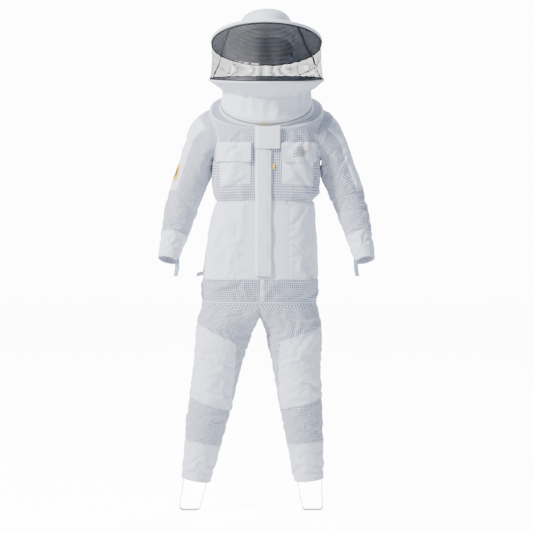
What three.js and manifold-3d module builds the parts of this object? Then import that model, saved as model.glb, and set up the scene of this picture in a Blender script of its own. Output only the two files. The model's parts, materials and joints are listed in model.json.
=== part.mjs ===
// A ventilated beekeeping suit, standing in the shape that its wearer gives it, with nobody inside.
// Millimetres, +Z up, the suit faces -Y. Right and left are the wearer's, so right is -X.
// The suit is drawn with the soles of its foot straps at height 0, and the whole group is then
// lowered so that the origin is the centre of the neck zip, where the shoulders carry the suit.
import * as THREE from "three";
import { mergeVertices } from "three/addons/utils/BufferGeometryUtils.js";
import Module from "manifold-3d";

const wasm = await Module();
wasm.setup();

// ---- Cloth and clearances ----
const CLOTH = 2.5; // three-layer net and the cotton over it
const SEAM = 0.3; // between two panels that are sewn edge to edge
const LAY = 0.9; // between a patch and the cloth that it lies on
const TURN = 0.95; // between a sleeve or leg and the cloth that it turns in
const SWEEP_STEP = 12; // degrees between the places that a moving limb is cut from its socket
const deg = THREE.MathUtils.degToRad;
const lerp = THREE.MathUtils.lerp;
const vec = (x, y, z) => new THREE.Vector3(x, y, z);

// ---- The neck zip: a ring that is low in front and high behind ----
const neckZip = { height: 1428, y: 10, radius: 157, tilt: 28, tape: 8, tapeThick: 1.2, bead: 3, gap: 0.45, beadHigh: 1.2 };
const neckNormal = vec(0, -Math.sin(deg(neckZip.tilt)), Math.cos(deg(neckZip.tilt)));

// ---- The jacket's rings, from the hip seam up: half width, front, back, squareness, tilt ----
const front = -126; // the zip runs straight down this line
const hip = 826;
const waist = 1092;
const neckEdge = neckZip.gap + neckZip.beadHigh + neckZip.tape + SEAM; // the cloth stops this far under the zip
const jacketRings = [
  { z: hip, x: -22, a: 200, front, back: 118, n: 2.8 },
  { z: 900, x: -18, a: 194, front, back: 116, n: 2.8 },
  { z: 970, x: -14, a: 188, front, back: 112, n: 2.8 },
  { z: 1030, x: -8, a: 179, front, back: 108, n: 2.8 },
  { z: waist, x: 0, a: 170, front, back: 104, n: 2.8 },
  { z: 1130, x: 0, a: 180, front, back: 111, n: 2.8 },
  { z: 1176, x: 0, a: 185, front, back: 121, n: 2.8 },
  { z: 1255, x: 0, a: 185, front, back: 131, n: 2.8 },
  { z: 1315, x: 0, a: 185, front, back: 139, n: 2.7, tilt: 6 },
  { z: 1366, x: 0, a: 188, front, back: 147, n: 2.5, tilt: 15 },
  { z: 1411, x: 0, a: 197, front, back: 151, n: 2.3, tilt: 27.3 },
  {
    z: neckZip.height - neckEdge * neckNormal.z,
    x: 0,
    a: neckZip.radius + CLOTH / 2,
    front: neckZip.y - neckEdge * neckNormal.y - (neckZip.radius + CLOTH / 2) * neckNormal.z,
    back: neckZip.y - neckEdge * neckNormal.y + (neckZip.radius + CLOTH / 2) * neckNormal.z,
    n: 2,
    tilt: neckZip.tilt,
  },
];
const seatRings = [
  { z: 690, x: -23.5, a: 196, front: -98, back: 88, n: 2.5 },
  { z: 742, x: -25, a: 200, front: -100, back: 90, n: 2.5 },
  { z: 785, x: -24, a: 203, front: -114, back: 106, n: 2.6 },
  { z: hip - SEAM, x: -22, a: 200, front, back: 118, n: 2.8 },
];

// ---- Limbs: where each joint is, and the radius of the cloth there ----
const shoulder = { x: 195, y: 5, z: 1344, ball: 65 };
const elbow = { x: 297, y: -5, z: 1072, ball: 52.5 };
const wrist = { x: 340, y: -90, z: 889, radius: 34 };
const foot = {
  right: { hip: vec(-133, -5, 715), knee: vec(-175, -5, 504), ankle: vec(-249, -5, 112) },
  left: { hip: vec(86, -5, 715), knee: vec(107, -5, 504), ankle: vec(150, -5, 112) },
};
const legRadius = { hip: 103, thigh: 92, knee: 81, calf: 76, shin: 63, ankle: 51 };
const swing = {
  shoulder: [0, 70],
  elbow: [0, 75],
  hip: [-12, 60],
  knee: [0, 75],
};
const dome = 42; // degrees of ball above a joint, inside the cloth that it turns in
const sleeveCap = 76; // the same on the outer side of a sleeve, which slides in under the shoulder

const AROUND_HOOD = 44;
const AROUND_HEAD = 28;
const AROUND_LIMB = 24;

// ---- Solids ----
const material = {
  cotton: new THREE.MeshStandardMaterial({ color: 0xeeeef3, roughness: 0.85 }),
  net: new THREE.MeshStandardMaterial({ color: 0xd4d5dc, roughness: 0.9 }),
  veil: new THREE.MeshStandardMaterial({ color: 0x15151a, roughness: 0.7 }),
  webbing: new THREE.MeshStandardMaterial({ color: 0x1b1b20, roughness: 0.75 }),
  elastic: new THREE.MeshStandardMaterial({ color: 0xd9dde6, roughness: 0.8 }),
  brass: new THREE.MeshStandardMaterial({ color: 0xb08d3c, roughness: 0.35, metalness: 1 }),
  tape: new THREE.MeshStandardMaterial({ color: 0xe6e6ea, roughness: 0.8 }),
  yellow: new THREE.MeshStandardMaterial({ color: 0xf2c400, roughness: 0.7 }),
  snap: new THREE.MeshStandardMaterial({ color: 0xc8c8cc, roughness: 0.4 }),
};

function solidOf(geometry) {
  const bare = geometry.index ? geometry.toNonIndexed() : geometry.clone();
  bare.deleteAttribute("normal");
  bare.deleteAttribute("uv");
  const merged = mergeVertices(bare, 1e-3);
  return new wasm.Manifold(
    new wasm.Mesh({
      numProp: 3,
      vertProperties: new Float32Array(merged.attributes.position.array),
      triVerts: new Uint32Array(merged.index.array),
    }),
  );
}

function geometryOf(solid) {
  const mesh = solid.getMesh();
  const points = new Float32Array(mesh.numVert * 3);
  for (let i = 0; i < mesh.numVert; i++) {
    points.set(mesh.vertProperties.subarray(i * mesh.numProp, i * mesh.numProp + 3), i * 3);
  }
  return new THREE.BufferGeometry()
    .setAttribute("position", new THREE.BufferAttribute(points, 3))
    .setIndex(new THREE.BufferAttribute(new Uint32Array(mesh.triVerts), 1));
}

// Only the largest part of a cut solid is kept, because a cut can leave crumbs.
function largest(solid) {
  return solid.decompose().sort((a, b) => b.volume() - a.volume())[0];
}

// Moves every point of a geometry, and turns its faces round when the move mirrors it.
function warp(geometry, map) {
  const at = geometry.attributes.position;
  for (let i = 0; i < at.count; i++) {
    const p = map(at.getX(i), at.getY(i), at.getZ(i));
    at.setXYZ(i, p.x, p.y, p.z);
  }
  return outward(geometry);
}

function outward(geometry) {
  const at = geometry.attributes.position;
  const index = geometry.index;
  const [a, b, c] = [vec(0, 0, 0), vec(0, 0, 0), vec(0, 0, 0)];
  let volume = 0;
  for (let i = 0; i < index.count; i += 3) {
    a.fromBufferAttribute(at, index.getX(i));
    b.fromBufferAttribute(at, index.getX(i + 1));
    c.fromBufferAttribute(at, index.getX(i + 2));
    volume += a.dot(b.cross(c));
  }
  for (let i = 0; volume < 0 && i < index.count; i += 3) {
    const second = index.getX(i + 1);
    index.setX(i + 1, index.getX(i + 2));
    index.setX(i + 2, second);
  }
  return geometry;
}

// A slab that follows map(across 0..1, along 0..1, deep 0..1), deep 1 being the outer side.
function slab(map, across, along) {
  return warp(new THREE.BoxGeometry(1, 1, 1, across, along, 1), (x, y, z) => map(x + 0.5, y + 0.5, z + 0.5));
}

// A tube wall: rings(turn 0..1, row, deep 0 or 1), open at both ends.
function tubeWall(map, around, rows) {
  const profile = [];
  for (let j = 0; j < rows; j++) profile.push(new THREE.Vector2(2, j));
  for (let j = rows - 1; j >= 0; j--) profile.push(new THREE.Vector2(1, j));
  profile.push(profile[0].clone());
  return warp(new THREE.LatheGeometry(profile, around), (x, y, z) => {
    const turn = Math.atan2(x, z) / (2 * Math.PI);
    return map(turn < -1e-9 ? turn + 1 : Math.max(turn, 0), Math.round(y), Math.round(Math.hypot(x, z)) - 1);
  });
}

// A stack of rounded-square rings. at(turn, row, depth) lies depth outside the cloth, and turn runs
// from the back, past the right side (0.25), the front (0.5) and the left side (0.75).
class RingStack {
  constructor(rings) {
    this.rings = rings;
  }
  ring(row) {
    const i = Math.min(Math.floor(row), this.rings.length - 2);
    const t = row - i;
    const [p, q] = [this.rings[i], this.rings[i + 1]];
    const mix = (key) => lerp(p[key] ?? 0, q[key] ?? 0, t);
    return { z: mix("z"), x: mix("x"), a: mix("a"), front: mix("front"), back: mix("back"), n: mix("n"), tilt: mix("tilt") };
  }
  point(turn, row) {
    const r = this.ring(row);
    const angle = 2 * Math.PI * turn;
    const power = (v) => Math.sign(v) * Math.abs(v) ** (2 / r.n);
    const x = r.x - r.a * power(Math.sin(angle));
    const y = ((r.back - r.front) / 2) * power(Math.cos(angle));
    return vec(x, (r.back + r.front) / 2 + y, r.z + y * Math.tan(deg(r.tilt)));
  }
  normal(turn, row) {
    const top = this.rings.length - 1;
    const along = this.point(turn, Math.min(row + 0.02, top)).sub(this.point(turn, Math.max(row - 0.02, 0)));
    const around = this.point(turn + 0.004, row).sub(this.point(turn - 0.004, row));
    const out = around.cross(along).normalize();
    if (row > 0 && row < top) return out;
    // The cloth of the first and last ring lies in the ring's own plane, so that it meets its neighbour.
    const tilt = deg(this.ring(row).tilt);
    const axis = vec(0, -Math.sin(tilt), Math.cos(tilt));
    return out.addScaledVector(axis, -out.dot(axis)).normalize();
  }
  at(turn, row, depth) {
    return this.point(turn, row).addScaledVector(this.normal(turn, row), depth);
  }
  // The row whose ring is at a height, where the rings are level.
  rowAt(z) {
    let i = 0;
    while (i < this.rings.length - 2 && this.rings[i + 1].z < z) i++;
    return i + (z - this.rings[i].z) / (this.rings[i + 1].z - this.rings[i].z);
  }
  // The turn on the front half where the cloth is at a given x.
  turnAt(x, row) {
    let [low, high] = [0.25, 0.75];
    for (let i = 0; i < 30; i++) {
      const middle = (low + high) / 2;
      if (this.point(middle, row).x < x) low = middle;
      else high = middle;
    }
    return (low + high) / 2;
  }
}

const jacket = new RingStack(jacketRings);
const seat = new RingStack(seatRings);

// A panel of a ring stack between two turns and two rows, CLOTH thick, its edges held SEAM / 2 in.
function panel(stack, turns, rows, across, edges = {}) {
  const [low, high] = rows;
  const bottom = edges.bottom ?? 0;
  const top = edges.top ?? 0;
  const along = Math.round(high - low);
  return slab(
    (s, t, w) => {
      const row = lerp(low, high, t) + (t === 0 ? bottom : 0) - (t === 1 ? top : 0);
      const [from, to] = turns.map((turn) => (typeof turn === "function" ? turn(row) : turn));
      return stack.at(lerp(from, to, s), row, (w - 1) * CLOTH);
    },
    across,
    along,
  );
}

// ---- Limbs ----
// A limb hangs from a joint along `down` and swings about `axis`, towards `ahead`.
function limb(joint, end, ahead) {
  const down = end.clone().sub(joint).normalize();
  const axis = down.clone().cross(ahead).normalize();
  const front = axis.clone().cross(down).normalize();
  return { joint, end, down, axis, front, length: joint.distanceTo(end) };
}

function limbPoint(l, turn, s, radius) {
  const angle = 2 * Math.PI * turn;
  return l.joint
    .clone()
    .addScaledVector(l.down, s)
    .addScaledVector(l.axis, radius * Math.sin(angle))
    .addScaledVector(l.front, -radius * Math.cos(angle));
}

// The open tube of a limb: a ball that turns in its socket, then rings of [distance, radius]. cap(turn)
// is how many degrees of the ball there are above the joint, and rim(turn) lifts the last ring, to let
// the next limb bend.
function limbTube(l, ball, rings, { cap = () => dome, capRows = 2, rim = () => 0 } = {}) {
  const rows = capRows + 1 + rings.length;
  return tubeWall(
    (turn, row, deep) => {
      if (row <= capRows) {
        const angle = deg(cap(turn) * (1 - row / capRows));
        const radius = deep ? ball : ball - CLOTH;
        return limbPoint(l, turn, -radius * Math.sin(angle), radius * Math.cos(angle));
      }
      const [s, radius] = rings[row - capRows - 1];
      return limbPoint(l, turn, row === rows - 1 ? s - rim(turn) : s, deep ? radius : radius - CLOTH);
    },
    AROUND_LIMB,
    rows,
  );
}

// How far a sleeve or leg of this radius has to stop short of the next joint on the side that the
// next limb swings to, so that it clears it at the end of its swing.
function bendRim(radius, towards, most) {
  return (turn) => {
    const angle = 2 * Math.PI * turn;
    const ahead = -Math.cos(angle) * towards; // 1 on the side that bends
    if (ahead <= 0) return 0;
    const reach = radius * Math.abs(Math.cos(angle));
    const rise = (reach - reach * Math.cos(deg(most))) / Math.sin(deg(most));
    return rise + 2 * TURN * ahead;
  };
}

// The space that a limb takes as it swings, as one solid, to be cut from the cloth that it turns in.
function swept(l, ball, reach, radius, [from, to]) {
  const across = l.axis.clone().cross(l.down);
  const corners = AROUND_LIMB - 4;
  const outside = 1 / Math.cos(Math.PI / corners);
  const basis = new THREE.Matrix4().makeBasis(l.down, l.axis, across.negate());
  const sphere = new THREE.SphereGeometry((ball + TURN) * outside, corners, corners / 2).applyMatrix4(basis);
  let space = solidOf(sphere.translate(l.joint.x, l.joint.y, l.joint.z));
  const steps = Math.ceil((to - from) / SWEEP_STEP);
  for (let i = 0; i <= steps; i++) {
    const tube = new THREE.CylinderGeometry((radius + TURN) * outside, (ball + TURN) * outside, reach, corners);
    tube.translate(0, reach / 2, 0);
    tube.applyMatrix4(new THREE.Matrix4().makeBasis(l.axis, l.down, l.axis.clone().cross(l.down)));
    tube.applyQuaternion(new THREE.Quaternion().setFromAxisAngle(l.axis, deg(lerp(from, to, i / steps))));
    space = space.add(solidOf(tube.translate(l.joint.x, l.joint.y, l.joint.z)));
  }
  return space;
}

const suit = new THREE.Group();
function add(name, geometry, finish, parent = suit) {
  const mesh = new THREE.Mesh(geometry, finish);
  mesh.name = name;
  parent.add(mesh);
  return mesh;
}

const sides = { right: -1, left: 1 };

// ---- Sleeves ----
const arms = {};
for (const [side, sign] of Object.entries(sides)) {
  const ahead = vec(0, -1, 0);
  const upper = limb(vec(sign * shoulder.x, shoulder.y, shoulder.z), vec(sign * elbow.x, elbow.y, elbow.z), ahead);
  const lower = limb(vec(sign * elbow.x, elbow.y, elbow.z), vec(sign * wrist.x, wrist.y, wrist.z), ahead);
  const socket = elbow.ball + TURN + CLOTH;
  const outer = Math.sign(upper.axis.x) === sign ? 1 : -1; // the side of the sleeve away from the body
  const cap = (turn) => {
    const out = outer * Math.sin(2 * Math.PI * turn);
    return dome + (out > 0 ? sleeveCap - dome : dome / 2) * out;
  };
  const upperRings = [
    [upper.length * 0.45, lerp(shoulder.ball, socket, 0.55)],
    [upper.length * 0.8, socket],
    [upper.length, socket],
  ];
  const cuffLength = 22;
  const lowerEnd = lower.length - cuffLength - SEAM;
  const lowerRings = [
    [lower.length * 0.55, 45],
    [lowerEnd, wrist.radius + 1],
  ];
  const bent = Math.acos(upper.down.dot(lower.down)) * THREE.MathUtils.RAD2DEG; // the sleeve is already bent by this
  arms[side] = { upper, lower };
  const rim = bendRim(elbow.ball + TURN, 1, swing.elbow[1] + bent);
  const sleeve = limbTube(upper, shoulder.ball, upperRings, { cap, capRows: 4, rim });
  add(`upper_sleeve_${side}`, sleeve, material.net);
  add(`forearm_sleeve_${side}`, limbTube(lower, elbow.ball, lowerRings), material.net);

  // The elastic cuff, and the loop of elastic for the thumb under it.
  add(
    `cuff_${side}`,
    tubeWall(
      (turn, row, deep) => limbPoint(lower, turn, lowerEnd + SEAM + (cuffLength * row) / 2, wrist.radius + (row === 1 ? 0 : 1) - (deep ? 0 : CLOTH + 1)),
      AROUND_LIMB,
      3,
    ),
    material.elastic,
  );
  const loop = { long: 60, wide: 14, gap: 17, thick: 2 };
  const outline = new THREE.Shape();
  outline.moveTo(-loop.gap - loop.thick, 0);
  outline.lineTo(-loop.gap - loop.thick, loop.long * 0.65);
  outline.absarc(0, loop.long * 0.65, loop.gap + loop.thick, Math.PI, 0, true);
  outline.lineTo(loop.gap + loop.thick, 0);
  outline.lineTo(loop.gap, 0);
  outline.lineTo(loop.gap, loop.long * 0.65);
  outline.absarc(0, loop.long * 0.65, loop.gap, 0, Math.PI, false);
  outline.lineTo(-loop.gap, 0);
  const strap = new THREE.ExtrudeGeometry(outline, { depth: loop.wide, bevelEnabled: false, curveSegments: 8 });
  strap.translate(0, 0, -loop.wide / 2);
  // It hangs from the inner side of the cuff, its two ends one behind the other.
  const inner = lower.axis.clone().multiplyScalar(-outer);
  const hang = lower.end
    .clone()
    .addScaledVector(inner, wrist.radius - loop.wide / 2)
    .addScaledVector(lower.front, loop.gap * 0.2)
    .addScaledVector(lower.down, SEAM);
  const across = lower.front.clone();
  strap.applyMatrix4(new THREE.Matrix4().makeBasis(across, lower.down, across.clone().cross(lower.down)));
  strap.translate(hang.x, hang.y, hang.z);
  add(`thumb_loop_${side}`, strap, material.elastic);

  // A cotton panel runs down the outer side of the upper sleeve.
  const panelTurns = outer > 0 ? [0.16, 0.4] : [0.6, 0.84];
  const [middleRing, lastRing] = upperRings;
  const rowRadius = (s) =>
    s < middleRing[0]
      ? lerp(shoulder.ball, middleRing[1], s / middleRing[0])
      : lerp(middleRing[1], lastRing[1], (s - middleRing[0]) / (lastRing[0] - middleRing[0]));
  const armPanel = { from: 34, to: upper.length * 0.8 };
  add(
    `sleeve_panel_${side}`,
    slab(
      (s, t, w) => {
        const steps = [armPanel.from, middleRing[0], armPanel.to];
        const at = t < 0.5 ? lerp(steps[0], steps[1], t * 2) : lerp(steps[1], steps[2], t * 2 - 1);
        return limbPoint(upper, lerp(panelTurns[1], panelTurns[0], s), at, rowRadius(at) + LAY + w * 1.5);
      },
      10,
      2,
    ),
    material.cotton,
  );
  if (side === "right") {
    const badge = { from: 128, to: 166, thick: 1.2 };
    const middle = (panelTurns[0] + panelTurns[1]) / 2 + 0.015;
    add(
      "sleeve_badge",
      slab(
        (s, t, w) => {
          const at = lerp(badge.from, badge.to, t);
          return limbPoint(upper, middle + 0.055 - 0.11 * s, at, rowRadius(at) + LAY + 1.5 + LAY + w * badge.thick);
        },
        5,
        2,
      ),
      material.yellow,
    );
  }
}

// ---- Legs ----
const legs = {};
for (const side of Object.keys(sides)) {
  const { hip: top, knee, ankle } = foot[side];
  const thigh = limb(top, knee, vec(0, -1, 0));
  const calf = limb(knee, ankle, vec(0, 1, 0));
  const socket = legRadius.knee + TURN + CLOTH;
  const thighRings = [
    [thigh.length * 0.55, legRadius.thigh],
    [thigh.length, socket],
  ];
  const calfRings = [
    [calf.length * 0.27, legRadius.calf],
    [calf.length * 0.65, legRadius.shin],
    [calf.length, legRadius.ankle],
  ];
  legs[side] = { thigh, calf };
  const rim = bendRim(legRadius.knee + TURN, -1, swing.knee[1]);
  add(`thigh_${side}`, limbTube(thigh, legRadius.hip, thighRings, { rim }), material.net);
  add(`lower_leg_${side}`, limbTube(calf, legRadius.knee, calfRings), material.net);

  // The elastic strap that goes under the arch of the foot, its two ends sewn inside the hem.
  const strap = { wide: 20, thick: 2, sole: 36, corner: 12, sewn: 8 };
  const inside = legRadius.ankle - CLOTH - 1.6;
  const under = calf.joint.x - ankle.x + (calf.down.x / calf.down.z) * -knee.z;
  const ends = [-1, 1].map((e) => {
    const across = Math.sign(calf.axis.x) * e;
    const outer = limbPoint(calf, 0.5 - across / 4, calf.length - strap.sewn, inside).sub(ankle);
    const inner = limbPoint(calf, 0.5 - across / 4, calf.length - strap.sewn, inside - strap.thick).sub(ankle);
    return { outer, inner, foot: under + e * strap.sole, e };
  });
  const outline = new THREE.Shape();
  const [low, high] = ends;
  const line = (x, z) => outline.lineTo(x, z);
  outline.moveTo(low.outer.x, low.outer.z + ankle.z);
  line(low.inner.x, low.inner.z + ankle.z);
  line(low.foot + strap.thick, strap.corner);
  outline.quadraticCurveTo(low.foot + strap.thick, strap.thick, low.foot + strap.corner, strap.thick);
  line(high.foot - strap.corner, strap.thick);
  outline.quadraticCurveTo(high.foot - strap.thick, strap.thick, high.foot - strap.thick, strap.corner);
  line(high.inner.x, high.inner.z + ankle.z);
  line(high.outer.x, high.outer.z + ankle.z);
  line(high.foot, strap.corner);
  outline.quadraticCurveTo(high.foot, 0, high.foot - strap.corner, 0);
  line(low.foot + strap.corner, 0);
  outline.quadraticCurveTo(low.foot, 0, low.foot, strap.corner);
  const band = new THREE.ExtrudeGeometry(outline, { depth: strap.wide, bevelEnabled: false, curveSegments: 4 });
  band.rotateX(Math.PI / 2);
  band.translate(ankle.x, ankle.y + strap.wide / 2, 0);
  add(`foot_strap_${side}`, band, material.elastic);
}

// ---- The jacket: mesh yokes above the waist seam and cotton below it ----
const frontZip = { half: 10, thick: 1.2, bead: 2.2, gap: 0.75, top: 1338, bottom: hip + 6 };
const rightEdge = (row) => jacket.turnAt(-frontZip.half - SEAM, row);
const leftEdge = (row) => jacket.turnAt(frontZip.half + SEAM, row);
const rowOf = { hip: 0, waist: 4, neck: jacketRings.length - 1 };
const small = 0.004; // of a row, about SEAM / 2
const sideSeam = [0.25, 0.75];
const gapTurn = 0.00016;
const armSpace = {};
for (const side of Object.keys(sides)) {
  const { upper } = arms[side];
  const raise = limb(upper.joint, upper.end, vec(sides[side], 0, 0)); // it swings sideways
  armSpace[side] = swept(raise, shoulder.ball, 170, 61, swing.shoulder);
}
function yoke(turns, across) {
  const cloth = solidOf(panel(jacket, turns, [rowOf.waist, rowOf.neck], across, { bottom: small }));
  return geometryOf(largest(cloth.subtract(armSpace.right).subtract(armSpace.left)));
}
add("front_yoke_right", yoke([sideSeam[0] + gapTurn, rightEdge], 13), material.net);
add("front_yoke_left", yoke([leftEdge, sideSeam[1] - gapTurn], 13), material.net);
add("back_yoke", yoke([sideSeam[1] - 1 + gapTurn, sideSeam[0] - gapTurn], 28), material.net);
const lowerRows = [rowOf.hip, rowOf.waist];
add("front_lower_right", panel(jacket, [sideSeam[0] + gapTurn, rightEdge], lowerRows, 12, { top: small }), material.cotton);
add("front_lower_left", panel(jacket, [leftEdge, sideSeam[1] - gapTurn], lowerRows, 12, { top: small }), material.cotton);
add("back_lower", panel(jacket, [sideSeam[1] - 1 + gapTurn, sideSeam[0] - gapTurn], lowerRows, 24, { top: small }), material.cotton);

// ---- The seat: two mesh halves that meet at the middle seam, and the gusset between the legs ----
const legSpace = {};
for (const side of Object.keys(sides)) {
  legSpace[side] = swept(legs[side].thigh, legRadius.hip, 120, legRadius.thigh, swing.hip);
}
for (const [side, turns] of [["right", [0, 0.5]], ["left", [0.5, 1]]]) {
  const cloth = solidOf(panel(seat, [turns[0] + gapTurn, turns[1] - gapTurn], [0, 3], 26));
  add(`seat_${side}`, geometryOf(largest(cloth.subtract(legSpace.right).subtract(legSpace.left))), material.net);
}
{
  const wide = 9;
  const { front: fore, back: aft, z: top } = seatRings[0];
  const low = 22;
  const outline = new THREE.Shape();
  outline.moveTo(fore, 0);
  outline.quadraticCurveTo(fore + 10, -low, (fore + aft) / 2, -low);
  outline.quadraticCurveTo(aft - 10, -low, aft, 0);
  outline.lineTo(aft - CLOTH, 0);
  outline.quadraticCurveTo(aft - 12, -low + CLOTH, (fore + aft) / 2, -low + CLOTH);
  outline.quadraticCurveTo(fore + 12, -low + CLOTH, fore + CLOTH, 0);
  const strip = new THREE.ExtrudeGeometry(outline, { depth: wide, bevelEnabled: false, curveSegments: 8 });
  strip.applyMatrix4(new THREE.Matrix4().makeBasis(vec(0, 1, 0), vec(0, 0, 1), vec(1, 0, 0)));
  strip.translate((foot.right.hip.x + foot.left.hip.x) / 2 - wide / 2, 0, top - SEAM);
  add("crotch_gusset", strip, material.net);
}

// ---- Front zip: two tapes with their beads, and the slider between them ----
const zipFace = front - 0.2; // the outer face of the tapes
for (const [side, sign] of Object.entries(sides)) {
  const outline = new THREE.Shape();
  const bead = frontZip.gap + frontZip.bead;
  const middle = CLOTH / 2 + 0.2;
  outline.moveTo(frontZip.gap, middle - frontZip.bead / 2);
  outline.lineTo(bead, middle - frontZip.bead / 2);
  outline.lineTo(bead, middle - frontZip.thick / 2);
  outline.lineTo(frontZip.half, middle - frontZip.thick / 2);
  outline.lineTo(frontZip.half, middle + frontZip.thick / 2);
  outline.lineTo(bead, middle + frontZip.thick / 2);
  outline.lineTo(bead, middle + frontZip.bead / 2);
  outline.lineTo(frontZip.gap, middle + frontZip.bead / 2);
  const tape = new THREE.ExtrudeGeometry(outline, { depth: frontZip.top - frontZip.bottom, bevelEnabled: false });
  if (sign < 0) tape.rotateZ(Math.PI).translate(0, 2 * middle, 0);
  tape.translate(0, zipFace, frontZip.bottom);
  add(`front_zip_tape_${side}`, tape, material.tape);
}

// A slider: two plates that hold the beads between them, and the post that joins the plates.
function slider(length, wide, beadHalf, clear, plate) {
  const face = beadHalf + clear;
  const back = solidOf(new THREE.BoxGeometry(wide, plate, length).translate(0, face + plate / 2, 0));
  const fore = solidOf(new THREE.BoxGeometry(wide, plate, length).translate(0, -face - plate / 2, 0));
  const post = solidOf(new THREE.BoxGeometry(0.5, 2 * face + plate, length * 0.4));
  const bridge = solidOf(new THREE.BoxGeometry(2.4, 1.6, length * 0.7).translate(0, -face - plate - 0.6, 0));
  return geometryOf(back.add(fore).add(post).add(bridge));
}
const slide = { length: 12, wide: 8, clear: 0.6, plate: 1.2 };
{
  const beadMiddle = zipFace + CLOTH / 2 + 0.2;
  const rest = frontZip.top - 14;
  const zip = new THREE.Group();
  zip.position.set(0, beadMiddle, rest);
  suit.add(zip);
  const half = frontZip.bead / 2;
  add("front_zip_slider", slider(slide.length, slide.wide, half, slide.clear, slide.plate), material.brass, zip);
  const out = half + slide.clear + slide.plate + 1.4 + SEAM;
  const tab = solidOf(new THREE.BoxGeometry(6, 1.4, 26).translate(0, -out - 0.7, -12));
  const eye = solidOf(new THREE.BoxGeometry(2.6, 4, 4).translate(0, -out - 0.7, -21));
  add("front_zip_pull", geometryOf(tab.subtract(eye)), material.brass, zip);
}

// ---- The storm placket over the zip, sewn down its right edge ----
const placket = { from: -38, to: 17, out: 10.5, thick: 2.5, top: 1266, bottom: hip + 8, sewn: 4 };
{
  const outline = new THREE.Shape();
  outline.moveTo(placket.from, -SEAM);
  outline.lineTo(placket.from + placket.sewn, -SEAM);
  outline.lineTo(placket.from + placket.sewn, -placket.out);
  outline.lineTo(placket.to, -placket.out);
  outline.lineTo(placket.to, -placket.out - placket.thick);
  outline.lineTo(placket.from, -placket.out - placket.thick);
  const strip = new THREE.ExtrudeGeometry(outline, { depth: placket.top - placket.bottom, bevelEnabled: false });
  strip.translate(0, front, placket.bottom);
  add("storm_placket", strip, material.cotton);
}
// The fly tongue carries the front opening on below the hip seam.
add(
  "fly_tongue",
  slab((s, t, w) => {
    const row = seat.rowAt(lerp(750, hip - 4, t));
    const x = lerp(-23.5, -2, s);
    return seat.at(seat.turnAt(x, row), row, LAY + w * 2);
  }, 1, 3),
  material.cotton,
);

// ---- Neck zip ----
const neck = new THREE.Group();
neck.position.set(0, neckZip.y, neckZip.height);
neck.rotation.x = deg(neckZip.tilt);
suit.add(neck);
function neckTape(up) {
  const { radius, tape, tapeThick, bead, gap, beadHigh } = neckZip;
  const profile = [
    [bead / 2, gap],
    [bead / 2, gap + beadHigh],
    [tapeThick / 2, gap + beadHigh],
    [tapeThick / 2, gap + beadHigh + tape],
    [-tapeThick / 2, gap + beadHigh + tape],
    [-tapeThick / 2, gap + beadHigh],
    [-bead / 2, gap + beadHigh],
    [-bead / 2, gap],
    [bead / 2, gap],
  ].map(([r, z]) => new THREE.Vector2(radius + r, up * z));
  if (up < 0) profile.reverse();
  return new THREE.LatheGeometry(profile, AROUND_HOOD, Math.PI / AROUND_HOOD).rotateX(Math.PI / 2);
}
add("neck_zip_lower", neckTape(-1), material.tape, neck);
{
  // The hood's half stops short in front, where its two ends are and the slider parks.
  const opening = solidOf(new THREE.BoxGeometry(24, 20, 40).translate(0, -neckZip.radius, 16));
  add("neck_zip_upper", geometryOf(solidOf(neckTape(1)).subtract(opening)), material.tape, neck);
  const parked = new THREE.Group();
  parked.position.set(0, -neckZip.radius, 0);
  parked.rotation.y = Math.PI / 2;
  neck.add(parked);
  const half = neckZip.bead / 2;
  add("neck_zip_slider", slider(slide.length, slide.wide - 2.4, half, slide.clear, slide.plate), material.brass, parked);
  const out = half + slide.clear + slide.plate + 1.4 + SEAM;
  add("neck_zip_pull", new THREE.BoxGeometry(5, 1.4, 20).translate(0, -out - 0.7, -10), material.brass, parked);
}

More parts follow.
